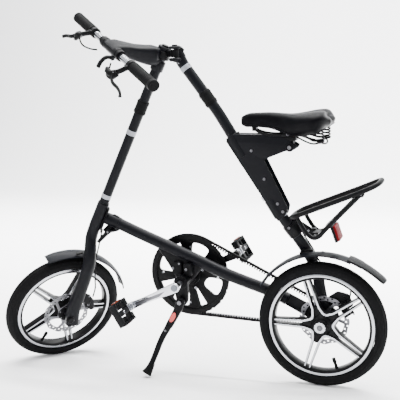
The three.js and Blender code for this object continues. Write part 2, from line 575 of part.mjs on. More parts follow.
// ---------------------------------------------------------------- handlebar
// Each half folds down about the lower edge of the centre sleeve's end.
add(steeredOrigin, 'bar_sleeve', rod(barAt(-SLEEVE_HALF), barAt(SLEEVE_HALF), 16, 20), blackMetal);
for (const [word, side] of [['left', -1], ['right', 1]]) {
  const at = (l, forward, down) => barAt(side * l, forward, down);
  const raised = (geometry) => geometry.translate(-BAR_X, 0, -BAR_Z)
    .rotateY(side > 0 ? RIGHT_LEVER_RAISE : 0).translate(BAR_X, 0, BAR_Z);
  add(steeredOrigin, `bar_${word}`, rod(at(SLEEVE_HALF + 0.8), at(BAR_HALF - 6), BAR_RADIUS, 16), silver);
  add(steeredOrigin, `grip_${word}`, cut(rod(at(160), at(BAR_HALF), 17, 16),
    rod(at(150), at(BAR_HALF - 5.6), BAR_RADIUS + GAP, 16)), rubber);
  const leverBody = join(
    rod(at(138), at(156), 17, 16),
    rod(at(147, 10, 2), at(141, 52, 14), 10, 10, 9),
    rod(at(141, 52, 14), at(120, 62, 6), 8, 10, 6),
  );
  const barRoom = rod(at(100), at(180), BAR_RADIUS + GAP, 16);
  const pinRoom = rod(at(146, 56, 44), at(146, 56, -20), 3, 8);
  const bladeRoom = block(at(151, 56, 16), 28, 22, 15);
  const leverBracket = cut(leverBody, barRoom, pinRoom, bladeRoom);
  add(steeredOrigin, `lever_bracket_${word}`, raised(leverBracket), blackMetal);
  const blade = tube([at(146, 57, 17), at(152, 66, 24), at(168, 68, 30), at(190, 64, 36),
    at(214, 66, 44), at(222, 70, 50)], 5.4, 8, 8);
  add(steeredOrigin, `lever_blade_${word}`, raised(cut(blade,
    rod(at(146, 56, 40), at(146, 56, -20), 3.2, 8))), blackMetal);
  add(steeredOrigin, `cable_${word}`, raised(tube([at(117, 62, 5.5), at(104, 62, 0), at(86, 54, -2),
    at(70, 38, 6), at(62, 24, 20)], 2.6, 8, 6)), rubber);
}
add(steeredOrigin, 'clamp_lever', join(
  rod(barAt(-64, 25.4, 2), barAt(-56, 25.4, 2), 8, 16),
  tube([barAt(-60, 28, 0), barAt(-60, 44, -2), barAt(-60, 62, 8), barAt(-60, 72, 22)], 6, 8, 10),
), blackMetal);

// ---------------------------------------------------------------- place on the ground
bicycle.updateMatrixWorld(true);
const bounds = new THREE.Box3().setFromObject(bicycle, true);
bicycle.position.set(-(bounds.min.x + bounds.max.x) / 2, -(bounds.min.y + bounds.max.y) / 2,
  -bounds.min.z);

export default bicycle;
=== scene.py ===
"""Folding bicycle with a triangular tube frame, small cast wheels and a toothed belt drive.

Pieces are modelled in millimetres in the bicycle's own upright frame (x to the rear, y to the
rider's right, z up, rear contact point at the origin). UP stands that frame on its lean in the
row frame; TURNED does the same for what turns with the steering.
"""

import json
import math

import bmesh
import bpy
from mathutils import Matrix, Vector

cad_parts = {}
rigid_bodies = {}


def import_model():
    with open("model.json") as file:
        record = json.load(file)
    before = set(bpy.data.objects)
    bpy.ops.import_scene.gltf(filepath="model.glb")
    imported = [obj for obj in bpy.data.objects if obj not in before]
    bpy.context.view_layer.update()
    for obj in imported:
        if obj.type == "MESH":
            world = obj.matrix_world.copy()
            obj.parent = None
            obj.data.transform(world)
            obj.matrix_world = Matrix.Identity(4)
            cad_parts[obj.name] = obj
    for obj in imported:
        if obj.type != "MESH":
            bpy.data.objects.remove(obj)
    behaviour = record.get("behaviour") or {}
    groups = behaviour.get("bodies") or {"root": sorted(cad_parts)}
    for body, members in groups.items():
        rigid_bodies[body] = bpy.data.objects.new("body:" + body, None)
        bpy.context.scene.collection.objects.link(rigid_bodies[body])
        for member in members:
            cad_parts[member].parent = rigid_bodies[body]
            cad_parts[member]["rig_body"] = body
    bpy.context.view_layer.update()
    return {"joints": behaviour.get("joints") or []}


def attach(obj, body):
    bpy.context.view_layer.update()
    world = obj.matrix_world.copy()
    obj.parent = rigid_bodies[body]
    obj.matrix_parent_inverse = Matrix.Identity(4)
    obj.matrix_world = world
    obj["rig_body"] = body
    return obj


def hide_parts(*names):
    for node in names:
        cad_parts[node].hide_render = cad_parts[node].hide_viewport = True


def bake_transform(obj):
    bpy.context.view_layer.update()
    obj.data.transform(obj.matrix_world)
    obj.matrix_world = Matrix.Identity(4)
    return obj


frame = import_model()

# ---------------------------------------------------------------- driving dimensions, mm
LEAN = math.radians(6.5)
STEER = math.radians(50.3)
HEAD_TILT = math.radians(26)
WHEEL_RADIUS = 200
TYRE_SECTION = 22
RIM_OUTER = 166
REAR_HUB = Vector((0, 0, 200))
FRONT_HUB = Vector((-904.2, 0, 185.3))
AXIS_FOOT = Vector((-897, 0, 200))
AXIS_UP = Vector((math.sin(HEAD_TILT), 0, math.cos(HEAD_TILT)))
BRACKET = Vector((-450, 0, 312))
CRANK_LENGTH = 170
CRANK_DROP = math.radians(25)
PULLEY_RADIUS = 133
SPROCKET_RADIUS = PULLEY_RADIUS * 28 / 108
HINGE = Vector((-438, -26, 1037))
BAR_X, BAR_Z, BAR_HALF = -650, 1085, 303
RIGHT_LEVER_RAISE = math.radians(20)
PEDAL_TILT = math.radians(60)
RACK_HALF = 54
STRUT_SIDE = RACK_HALF - 6
Y, Z = Vector((0, 1, 0)), Vector((0, 0, 1))


def joint_point(name):
    return Vector(next(j for j in frame["joints"] if j["name"] == name)["pos_m"])


def shift(mm):
    return Matrix.Translation(Vector(mm) * 0.001)


TILT = Matrix.Rotation(LEAN, 4, "X")
UP = Matrix.Translation(joint_point("rear_wheel_spin") - TILT @ (REAR_HUB * 0.001)) @ TILT
TURNED = UP @ shift(AXIS_FOOT) @ Matrix.Rotation(STEER, 4, AXIS_UP) @ shift(-AXIS_FOOT)


def on_axis(z):
    """Point of the steering axis at a height."""
    return AXIS_FOOT + AXIS_UP * ((z - AXIS_FOOT.z) / AXIS_UP.z)


def bar_at(along, forward=0, down=0):
    """Point beside the handlebar."""
    return Vector((BAR_X - forward, along, BAR_Z - down))


def on_rear_tube(z, side=0):
    return Vector((-342 + (900 - z) * 0.613, side, z))


# ---------------------------------------------------------------- materials
def node_material(name, color, rough, metal=0.0, coat=0.0, grain=0.0, grain_scale=400.0, wear=0.08,
                  tint=0.12, shine=0.14):
    """Principled surface with uneven gloss, slight colour change and a fine bump."""
    mat = bpy.data.materials.new(name)
    mat.use_nodes = True
    nodes, links = mat.node_tree.nodes, mat.node_tree.links
    shader = nodes["Principled BSDF"]
    shader.inputs["Metallic"].default_value = metal
    shader.inputs["Specular IOR Level"].default_value = 0.5 if metal > 0.9 else shine
    shader.inputs["Coat Weight"].default_value = coat
    shader.inputs["Coat Roughness"].default_value = 0.18
    place = nodes.new("ShaderNodeTexCoord")
    broad = nodes.new("ShaderNodeTexNoise")
    broad.inputs["Scale"].default_value = 14.0
    broad.inputs["Detail"].default_value = 5.0
    links.new(place.outputs["Object"], broad.inputs["Vector"])
    gloss = nodes.new("ShaderNodeMapRange")
    gloss.inputs["To Min"].default_value = max(0.02, rough - wear)
    gloss.inputs["To Max"].default_value = min(1.0, rough + wear)
    links.new(broad.outputs["Fac"], gloss.inputs["Value"])
    links.new(gloss.outputs["Result"], shader.inputs["Roughness"])
    shade = nodes.new("ShaderNodeValToRGB")
    shade.color_ramp.elements[0].position = 0.3
    shade.color_ramp.elements[1].position = 0.7
    shade.color_ramp.elements[0].color = [c * (1 - tint) for c in color] + [1]
    shade.color_ramp.elements[1].color = [min(1, c * (1 + tint)) for c in color] + [1]
    links.new(broad.outputs["Fac"], shade.inputs["Fac"])
    links.new(shade.outputs["Color"], shader.inputs["Base Color"])
    fine = nodes.new("ShaderNodeTexNoise")
    fine.inputs["Scale"].default_value = grain_scale
    fine.inputs["Detail"].default_value = 3.0
    links.new(place.outputs["Object"], fine.inputs["Vector"])
    bump = nodes.new("ShaderNodeBump")
    bump.inputs["Strength"].default_value = grain
    bump.inputs["Distance"].default_value = 0.001
    links.new(fine.outputs["Fac"], bump.inputs["Height"])
    links.new(bump.outputs["Normal"], shader.inputs["Normal"])
    return mat


def around_axle(mat, repeats, strength, inner, outer):
    """Adds ridges that repeat around the local y axis, between two radii, to a material's bump."""
    nodes, links = mat.node_tree.nodes, mat.node_tree.links
    place = nodes.new("ShaderNodeAttribute")
    place.attribute_name = "spot"
    split = nodes.new("ShaderNodeSeparateXYZ")
    links.new(place.outputs["Vector"], split.inputs["Vector"])

    def math_node(kind, a, b=None):
        node = nodes.new("ShaderNodeMath")
        node.operation = kind
        for socket, value in zip(node.inputs, (a, b)):
            if isinstance(value, (int, float)):
                socket.default_value = value
            elif value is not None:
                links.new(value, socket)
        return node.outputs[0]

    angle = math_node("ARCTAN2", split.outputs["Z"], split.outputs["X"])
    slant = math_node("MULTIPLY", math_node("ABSOLUTE", split.outputs["Y"]), 260.0)
    wave = math_node("SINE", math_node("ADD", math_node("MULTIPLY", angle, repeats), slant))
    square = math_node("GREATER_THAN", wave, 0.55)
    radius = math_node("SQRT", math_node("ADD", math_node("POWER", split.outputs["X"], 2.0),
                                         math_node("POWER", split.outputs["Z"], 2.0)))
    within = math_node("MULTIPLY", math_node("GREATER_THAN", radius, inner),
                       math_node("LESS_THAN", radius, outer))
    old = next(n for n in nodes if n.type == "BUMP")
    bump = nodes.new("ShaderNodeBump")
    bump.inputs["Strength"].default_value = strength
    bump.inputs["Distance"].default_value = 0.001
    bump.invert = True
    links.new(math_node("MULTIPLY", square, within), bump.inputs["Height"])
    links.new(old.outputs["Normal"], bump.inputs["Normal"])
    links.new(bump.outputs["Normal"], nodes["Principled BSDF"].inputs["Normal"])


def cell_bump(mat, scale, strength, kind="F1"):
    """Adds a cellular bump: leather pebbles, or the prisms of a reflector."""
    nodes, links = mat.node_tree.nodes, mat.node_tree.links
    place = nodes.new("ShaderNodeTexCoord")
    cells = nodes.new("ShaderNodeTexVoronoi")
    cells.feature = kind
    cells.inputs["Scale"].default_value = scale
    links.new(place.outputs["Object"], cells.inputs["Vector"])
    old = next(n for n in nodes if n.type == "BUMP")
    bump = nodes.new("ShaderNodeBump")
    bump.inputs["Strength"].default_value = strength
    bump.inputs["Distance"].default_value = 0.001
    links.new(cells.outputs["Distance"], bump.inputs["Height"])
    links.new(old.outputs["Normal"], bump.inputs["Normal"])
    links.new(bump.outputs["Normal"], nodes["Principled BSDF"].inputs["Normal"])


PAINT = node_material("slate_lacquer", (0.0026, 0.0028, 0.0042), 0.4, grain=0.05, grain_scale=900,
                      shine=0.1)
BLACK = node_material("satin_black", (0.002, 0.002, 0.0026), 0.42, grain=0.06, grain_scale=700, shine=0.09)
ALLOY = node_material("black_alloy", (0.002, 0.002, 0.0024), 0.36, grain=0.05, grain_scale=900, shine=0.09)
TYRE = node_material("tyre_rubber", (0.0028, 0.0028, 0.0032), 0.75, grain=0.25, grain_scale=1300,
                     shine=0.08)
around_axle(TYRE, 96, 0.9, 0.183, 0.1995)
RUBBER = node_material("soft_rubber", (0.002, 0.002, 0.0023), 0.66, grain=0.3, grain_scale=1500, shine=0.09)
PLASTIC = node_material("black_plastic", (0.0026, 0.0028, 0.0036), 0.5, grain=0.2, grain_scale=1400,
                        shine=0.1)
GUARD = node_material("guard_plastic", (0.0038, 0.0044, 0.0068), 0.42, grain=0.12, grain_scale=900,
                      shine=0.08)
SILVER = node_material("machined_silver", (0.5, 0.51, 0.54), 0.24, 1.0, 0, 0.08, 1200, 0.07, 0.08)
POLISH = node_material("polished_silver", (0.66, 0.67, 0.7), 0.14, 1.0, 0, 0.35, 60, 0.06, 0.1)
STEEL = node_material("brushed_steel", (0.14, 0.14, 0.15), 0.34, 1.0, 0, 0.12, 900)
CAP_GREY = node_material("cap_grey", (0.16, 0.17, 0.19), 0.45, 0.95, 0, 0.05, 800)
BAND = node_material("reflective_band", (0.3, 0.31, 0.34), 0.42, 0.3, 0, 0.3, 700, shine=0.4)
LEATHER = node_material("saddle_leather", (0.0016, 0.0016, 0.0024), 0.4, 0, 0.0, 0.1, 500, shine=0.05)
cell_bump(LEATHER, 620, 0.1)
RED = node_material("red_lens", (0.12, 0.002, 0.004), 0.55, 0, 0.0, 0.02, 300, shine=0.06)
cell_bump(RED, 260, 0.7)
ORANGE = node_material("orange_lens", (0.16, 0.024, 0.006), 0.25, 0, 0.0, 0.02, 300, shine=0.3)
cell_bump(ORANGE, 300, 0.7)
PINK = node_material("pink_badge", (0.62, 0.09, 0.08), 0.4, 0, 0, 0.05, 500)


# ---------------------------------------------------------------- shapes: (points, faces) in mm
def smooth_path(points, steps):
    """Centripetal Catmull-Rom curve through the points."""
    pts = [Vector(p) for p in points]
    if len(pts) == 2:
        return [pts[0].lerp(pts[1], i / steps) for i in range(steps + 1)]
    pts = [pts[0] * 2 - pts[1]] + pts + [pts[-1] * 2 - pts[-2]]
    spans = len(pts) - 3
    out = []
    for i in range(steps + 1):
        u = spans * i / steps
        k = min(int(u), spans - 1)
        u -= k
        p = pts[k:k + 4]
        t = [0.0]
        for a, b in zip(p, p[1:]):
            t.append(t[-1] + max(1e-6, (b - a).length ** 0.5))
        now = t[1] + (t[2] - t[1]) * u

        def mix(a, b, ta, tb):
            return a * ((tb - now) / (tb - ta)) + b * ((now - ta) / (tb - ta))

        a1, a2, a3 = (mix(p[j], p[j + 1], t[j], t[j + 1]) for j in range(3))
        b1, b2 = mix(a1, a2, t[0], t[2]), mix(a2, a3, t[1], t[3])
        out.append(mix(b1, b2, t[1], t[2]))
    return out


def sweep(points, radius, steps=32, sides=28, across=None, square=2.0, ref=Y, chamfer=0.8):
    """Tube along a curve. radius is a number or a function of the share of the way along; across
    is its half-width along ref, and square above 2 makes the section boxier."""
    path = smooth_path(points, steps)
    size = radius if callable(radius) else (lambda s: radius)
    side_size = across if callable(across) else (lambda s: across if across else size(s))
    rings = []

    def ring(i, shrink, push):
        before, after = path[max(0, i - 1)], path[min(len(path) - 1, i + 1)]
        ahead = (after - before).normalized()
        side = (ref - ahead * ref.dot(ahead)).normalized()
        normal = side.cross(ahead)
        s = i / (len(path) - 1)
        centre = path[i] + ahead * push
        loop = []
        for j in range(sides):
            a = 2 * math.pi * j / sides
            c, d = math.cos(a), math.sin(a)
            power = 2.0 / (square(s) if callable(square) else square)
            c = math.copysign(abs(c) ** power, c)
            d = math.copysign(abs(d) ** power, d)
            loop.append(centre + normal * (c * (size(s) - shrink)) + side * (d * (side_size(s) - shrink)))
        return loop

    last = len(path) - 1
    rings.append(ring(0, chamfer, 0))
    rings.append(ring(0, 0, chamfer))
    rings += [ring(i, 0, 0) for i in range(1, last)]
    rings.append(ring(last, 0, -chamfer))
    rings.append(ring(last, chamfer, 0))
    return stitch(rings, True)


def stitch(rings, caps, closed=False):
    """Joins loops of equal length into a skin."""
    n = len(rings[0])
    verts = [tuple(p) for loop in rings for p in loop]
    faces = []
    for i in range(len(rings) - (0 if closed else 1)):
        k = (i + 1) % len(rings)
        for j in range(n):
            m = (j + 1) % n
            faces.append((i * n + j, i * n + m, k * n + m, k * n + j))
    if caps:
        faces.append(tuple(range(n)))
        faces.append(tuple((len(rings) - 1) * n + j for j in range(n)))
    return verts, faces


def rod(a, b, radius, end_radius=None, sides=28, chamfer=0.8):
    a, b = Vector(a), Vector(b)
    ref = Y if abs((b - a).normalized().y) < 0.8 else Z
    end = radius if end_radius is None else end_radius
    return sweep([a, b], lambda s: radius + (end - radius) * s, 6, sides, ref=ref, chamfer=chamfer)


def revolve(profile, center=(0, 0, 0), axis=Y, sides=48):
    """Turned solid; the profile is a closed loop of (radius, height) or starts and ends on the axis."""
    axis = Vector(axis).normalized()
    u = axis.orthogonal().normalized()
    v = axis.cross(u)
    rings = []
    for i in range(sides):
        a = 2 * math.pi * i / sides
        out = u * math.cos(a) + v * math.sin(a)
        rings.append([Vector(center) + out * r + axis * h for r, h in profile])
    verts = [tuple(p) for loop in rings for p in loop]
    n = len(profile)
    on_axis_ends = profile[0][0] < 1e-6
    faces = []
    for i in range(sides):
        k = (i + 1) % sides
        for j in range(n - (1 if on_axis_ends else 0)):
            m = (j + 1) % n
            faces.append((i * n + j, k * n + j, k * n + m, i * n + m))
    return verts, faces


def disc(center, y0, y1, radius, chamfer=1.0, hole=0.0, sides=64, axis=Y):
    """Short cylinder across the bicycle with broken edges, with an optional bore."""
    c = min(chamfer, (y1 - y0) / 3)
    if hole:
        loop = [(hole, y0), (radius - c, y0), (radius, y0 + c), (radius, y1 - c), (radius - c, y1),
                (hole, y1)]
    else:
        loop = [(0, y0), (radius - c, y0), (radius, y0 + c), (radius, y1 - c), (radius - c, y1), (0, y1)]
    return revolve(loop, center, axis, sides)


def bolt(at, direction, radius=4.0, height=3.0):
    """Round-headed socket bolt."""
    r, h = radius, height
    loop = [(0, -1), (r, -1), (r, h * 0.6), (r * 0.86, h), (r * 0.5, h), (r * 0.46, h * 0.3), (0, h * 0.3)]
    return revolve(loop, at, direction, 20)


def brick(center, size, bevel=1.5, turn=None):
    bm = bmesh.new()
    bmesh.ops.create_cube(bm, size=1.0)
    for v in bm.verts:
        v.co = Vector([v.co[i] * size[i] for i in range(3)])
    bmesh.ops.bevel(bm, geom=bm.edges[:], offset=bevel, segments=2, affect="EDGES", profile=0.7)
    if turn:
        bmesh.ops.transform(bm, matrix=turn, verts=bm.verts)
    verts = [tuple(v.co + Vector(center)) for v in bm.verts]
    faces = [tuple(v.index for v in f.verts) for f in bm.faces]
    bm.free()
    return verts, faces


def slab(outline, y0, y1, holes=(), bevel=1.2):
    """Plate with rounded edges from a side-view outline of (x, z) points, with hole outlines."""
    curve = bpy.data.curves.new("outline", "CURVE")
    curve.dimensions = "2D"
    curve.fill_mode = "BOTH"
    curve.extrude = max(0.0, (y1 - y0) / 2 - bevel)
    curve.bevel_depth = bevel
    curve.bevel_resolution = 2
    curve.offset = -bevel
    for loop in [outline, *holes]:
        spline = curve.splines.new("POLY")
        spline.points.add(len(loop) - 1)
        for point, (x, z) in zip(spline.points, loop):
            point.co = (x, z, 0, 1)
        spline.use_cyclic_u = True
    holder = bpy.data.objects.new("outline", curve)
    mesh = bpy.data.meshes.new_from_object(holder)
    verts = [(v.co.x, (y0 + y1) / 2 - v.co.z, v.co.y) for v in mesh.vertices]
    faces = [tuple(p.vertices) for p in mesh.polygons]
    bpy.data.objects.remove(holder)
    bpy.data.meshes.remove(mesh)
    bpy.data.curves.remove(curve)
    return verts, faces


def rounded(corners, radius, steps=5):
    """Outline with each corner rounded."""
    out = []
    n = len(corners)
    for i, corner in enumerate(corners):
        c = Vector(corner)
        a, b = Vector(corners[i - 1]) - c, Vector(corners[(i + 1) % n]) - c
        cut = min(radius, a.length * 0.45, b.length * 0.45)
        start, end = c + a.normalized() * cut, c + b.normalized() * cut
        for k in range(steps + 1):
            t = k / steps
            out.append(tuple(start * (1 - t) ** 2 + c * (2 * t * (1 - t)) + end * t ** 2))
    return out


def circle(x, z, radius, steps=24):
    return [(x + radius * math.cos(2 * math.pi * i / steps), z + radius * math.sin(2 * math.pi * i / steps))
            for i in range(steps)]


def ribbon(points, half_width):
    """Outline of a strip along a line; half_width is a function of the share of the way along."""
    pts = [Vector(p) for p in points]
    left, right = [], []
    for i, p in enumerate(pts):
        d = (pts[min(i + 1, len(pts) - 1)] - pts[max(i - 1, 0)]).normalized()
        n = Vector((-d.y, d.x)) * half_width(i / (len(pts) - 1))
        left.append(tuple(p + n))
        right.append(tuple(p - n))
    return left + right[::-1]


def moved(shape, matrix):
    verts, faces = shape
    return [tuple(matrix @ Vector(v)) for v in verts], faces


def show(name, shapes, mat, body, matrix=UP, stands_for=(), sharp=38, subdivide=0):
    """Makes one Blender object from shapes and lets it ride on a CAD body."""
    spots, faces = [], []
    for points, loops in shapes:
        base = len(spots)
        spots += [Vector(p) * 0.001 for p in points]
        faces += [tuple(base + i for i in loop) for loop in loops]
    turn = matrix.to_3x3()
    mesh = bpy.data.meshes.new(name)
    mesh.from_pydata([tuple(turn @ p) for p in spots], [], faces)
    spot = mesh.attributes.new("spot", "FLOAT_VECTOR", "POINT")
    for i, p in enumerate(spots):
        spot.data[i].vector = p
    bm = bmesh.new()
    bm.from_mesh(mesh)
    bmesh.ops.remove_doubles(bm, verts=bm.verts, dist=1e-6)
    bmesh.ops.recalc_face_normals(bm, faces=bm.faces)
    limit = math.radians(sharp)
    for face in bm.faces:
        face.smooth = True
    for edge in bm.edges:
        edge.smooth = len(edge.link_faces) == 2 and edge.calc_face_angle(0.0) < limit
    bm.to_mesh(mesh)
    bm.free()
    mesh.materials.append(mat)
    obj = bpy.data.objects.new(name, mesh)
    bpy.context.scene.collection.objects.link(obj)
    obj.matrix_world = Matrix.Translation(matrix.translation)
    if subdivide:
        smooth = obj.modifiers.new("round", "SUBSURF")
        smooth.levels = subdivide
        smooth.render_levels = subdivide
    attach(obj, body)
    if stands_for:
        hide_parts(*stands_for)
    return obj


def carve(obj, shapes, matrix=UP):
    """Cuts shapes out of an object for good."""
    tool = show(f"{obj.name}_room", shapes, BLACK, "rear_frame", matrix)
    cut = obj.modifiers.new("room", "BOOLEAN")
    cut.operation = "DIFFERENCE"
    cut.solver = "EXACT"
    cut.object = tool
    bpy.context.view_layer.update()
    mesh = bpy.data.meshes.new_from_object(obj.evaluated_get(bpy.context.evaluated_depsgraph_get()))
    obj.modifiers.clear()
    obj.data = mesh
    bpy.data.objects.remove(tool)


# ---------------------------------------------------------------- wheels
def wheel(prefix, hub, phase, rotor_side, valve_angle, matrix):
    body = f"{prefix}_wheel"
    place = matrix @ shift(hub)
    middle = WHEEL_RADIUS - TYRE_SECTION

    section = []
    start = math.acos(-(middle - RIM_OUTER - 0.3) / TYRE_SECTION)
    steps = 72
    for i in range(steps + 1):
        a = -start + 2 * start * i / steps
        groove = 0.9 if any(abs(abs(math.degrees(a)) - g) < 3.4 for g in (13, 33, 52)) else 0.0
        rib = 0.5 if 74 < abs(math.degrees(a)) < 80 or 96 < abs(math.degrees(a)) < 101 else 0.0
        r = TYRE_SECTION - groove + rib - (0.0 if abs(a) < 1.0 else 0.4)
        section.append((middle + r * math.cos(a), r * math.sin(a)))
    show(f"{prefix}_tyre_casing", [revolve(section, sides=180)], TYRE, body, place, [f"{prefix}_tyre"],
         sharp=60)

    barrel = [(147, -12), (148.5, -16), (151, -17.2), (161.5, -17.2), (164.5, -15.5), (165.6, -12.5),
              (165.6, 12.5), (164.5, 15.5), (161.5, 17.2), (151, 17.2), (148.5, 16), (147, 12)]
    show(f"{prefix}_rim_barrel", [revolve(barrel, sides=128)], ALLOY, body, place, [f"{prefix}_rim"])
    lips = [revolve([(154.8, s * 16.4), (155.6, s * 18), (162, s * 18), (163.6, s * 17), (164, s * 15.4)],
                    sides=128) for s in (-1, 1)]
    show(f"{prefix}_rim_lips", lips, SILVER, body, place)

    rails, faces = [], []
    for k in range(5):
        a, b = phase + 2 * math.pi * k / 5, phase + 2 * math.pi * (k + 1) / 5
        mid = (a + b) / 2

        def beside(angle, r, offset):
            return Vector((r * math.cos(angle) - offset * math.sin(angle),
                           r * math.sin(angle) + offset * math.cos(angle)))

        outer_a, inner_a = beside(a, 151, 7.5), beside(a, 55, 10.5)
        outer_b, inner_b = beside(b, 151, -7.5), beside(b, 55, -10.5)
        corner = Vector((33 * math.cos(mid), 33 * math.sin(mid)))
        near_a, near_b = inner_a.lerp(corner, 0.62), inner_b.lerp(corner, 0.62)
        line = [outer_a.lerp(inner_a, t / 6) for t in range(6)] + [inner_a.lerp(near_a,
                                                                                t / 3) for t in range(3)]
        line += [near_a * (1 - t) ** 2 + corner * (2 * t * (1 - t)) + near_b * t ** 2
                 for t in [i / 10 for i in range(10)]]
        line += [near_b.lerp(inner_b, t / 3) for t in range(3)]
        line += [inner_b.lerp(outer_b, t / 6) for t in range(7)]
        taper = lambda s: 3.1 + 1.6 * (1 - abs(2 * s - 1))
        rails.append(slab(ribbon(line, taper), -12, 12, bevel=0.8))
        for y in (-1, 1):
            faces.append(slab(ribbon(line, lambda s: taper(s) - 0.9), min(y * 11.4, y * 12.9),
                              max(y * 11.4, y * 12.9), bevel=0.5))
    star = []
    for k in range(5):
        a = phase + 2 * math.pi * k / 5
        for r, offset in ((42, -10), (60, -6.5), (63, 0), (60, 6.5), (42, 10)):
            star.append((r * math.cos(a) - offset * math.sin(a), r * math.sin(a) + offset * math.cos(a)))
        mid = a + math.pi / 5
        star.append((34 * math.cos(mid), 34 * math.sin(mid)))
    show(f"{prefix}_spokes", rails, ALLOY, body, place)
    show(f"{prefix}_spoke_faces", faces, SILVER, body, place)
    show(f"{prefix}_hub_star", [slab(star, -8, 8, bevel=1.5)], ALLOY, body, place)
    hub_shape = [(8.4, -33), (20, -33), (22, -31), (22, -20), (30, -14), (34, -9), (34, 9), (30, 14),
                 (22, 20), (22, 31), (20, 33), (8.4, 33)]
    show(f"{prefix}_hub_barrel", [revolve(hub_shape, sides=64)], ALLOY, body, place)
    cap_side = -rotor_side
    teeth = []
    for i in range(60):
        a = 2 * math.pi * i / 60
        r = 17.6 if i % 5 in (0, 1, 2) else 16.2
        teeth.append((r * math.cos(a), r * math.sin(a)))
    low, high = sorted((cap_side * 33, cap_side * 37.6))
    show(f"{prefix}_hub_cap", [slab(teeth, low, high, [circle(0, 0, 8.6)], 0.7)], SILVER, body, place)

    edge = [(ring_radius * math.cos(t), ring_radius * math.sin(t))
            for t in [2 * math.pi * i / 144 for i in range(144)]
            for ring_radius in [78.4 + 1.5 * math.cos(12 * t)]]
    holes = [circle(0, 0, 21, 36)]
    for i in range(6):
        base = i * math.pi / 3
        holes.append(rounded([(64 * math.cos(base + t), 64 * math.sin(base + t)) for t in
                              (0.04, 0.3, 0.6, 0.92)] +
                             [(32 * math.cos(base + t), 32 * math.sin(base + t)) for t in (1.16, 0.46)], 5,
                             3))
    for i in range(36):
        t = 2 * math.pi * i / 36
        r = 74.2 if i % 2 else 68.4
        holes.append(circle(r * math.cos(t), r * math.sin(t), 3.0, 10))
    y = rotor_side * 36.4
    show(f"{prefix}_rotor_disc", [slab(edge, y - 0.9, y + 0.9, holes, 0.25)], STEEL, body, place,
         [f"{prefix}_rotor"])
    low, high = sorted((rotor_side * 32.6, rotor_side * 38.4))
    bolts = [bolt((25 * math.cos(t), y + rotor_side * 2, 25 * math.sin(t)), Y * rotor_side, 2.6, 1.4)
             for t in [math.pi / 6 + i * math.pi / 3 for i in range(6)]]
    show(f"{prefix}_rotor_carrier", [disc((0, 0, 0), low, high, 30, 1.2, 9)], BLACK, body, place)
    show(f"{prefix}_rotor_bolts", bolts, STEEL, body, place)

    out = Vector((math.cos(valve_angle), 0, math.sin(valve_angle)))
    show(f"{prefix}_valve", [rod(out * 148, out * 126, 5.2, 4.6, 20),
                             rod(out * 128, out * 113, 6.0, 5.6, 20)],
         RUBBER, body, place)


# ---------------------------------------------------------------- guards, calipers
def guard(hub, angles, radius, half_width, crown, thickness, steps=40, sides=14):
    """Crowned strip along an arc over a wheel. radius and half_width are functions of the way along."""
    rings = []
    for i in range(steps + 1):
        s = i / steps
        a = math.radians(angles[0] + (angles[1] - angles[0]) * s)
        out = Vector((math.cos(a), 0, math.sin(a)))
        loop = []
        for skin in (1, 0):
            for j in range(sides + 1):
                t = -1 + 2 * j / sides if skin else 1 - 2 * j / sides
                r = radius(s) + crown * (1 - t * t) - crown + (thickness if skin else 0)
                loop.append(hub + out * r + Y * (t * half_width(s)))
        rings.append(loop)
    return stitch(rings, True)


def ease(s, start, end):
    t = max(0.0, min(1.0, (s - start) / (end - start)))
    return t * t * (3 - 2 * t)


def caliper(prefix, center, angle, side, body, matrix):
    """Brake caliper: two halves across the rotor, adjuster knob, actuating arm, cable stop and bolts."""
    place = matrix @ shift(center) @ Matrix.Rotation(-angle, 4, "Y")
    y = side * 36.4

    def across(center_xz, near, far, radius, chamfer=1.0, sides=32):
        x, z = center_xz
        return disc((x, 0, z), *sorted((side * near, side * far)), radius, chamfer, 0, sides)

    shapes = [brick((2, y + s * 7.2, 0), (22, 9.2, 42), 2.4) for s in (-1, 1)]
    shapes += [brick((9.5, y, 0), (6, 19, 38), 2), brick((-7, y + side * 8, 13), (8, 8, 12), 2),
               brick((-7, y + side * 8, -13), (8, 8, 12), 2)]
    shapes += [across((3, 0), 24, 30, 9), across((2, 0), 45, 49.5, 11), across((2, 0), 48, 51.5, 7.6)]
    shapes += [sweep([(2, side * 50, 0), (12, side * 50.4, 8), (19, side * 50, 22), (17, side * 49, 31)],
                     3.4, 16, 16),
               rod((17, side * 45, 32), (17, side * 53, 32), 4.4, None, 18),
               rod((15, side * 47, -24), (15, side * 47, -8), 4.2, 3.4, 18),
               brick((12, side * 45, -18), (8, 7, 12), 1.5)]
    show(f"{prefix}_caliper_body", shapes, BLACK, body, place, [f"{prefix}_caliper"])
    bolts = [bolt((-7, side * 47.4, z), Y * side, 3.2, 1.6) for z in (-13, 13)]
    bolts += [bolt((2, side * 51.4, 0), Y * side, 4.4, 1.4), bolt((17, side * 53, 32), Y * side, 2.8, 1.4),
              rod((15, side * 47, -30), (15, side * 47, -23), 2.8, 2.4, 16),
              rod((16, side * 48.6, -24), (17, side * 49, 30), 0.9, None, 8, 0.2)]
    show(f"{prefix}_caliper_bolts", bolts, STEEL, body, place)


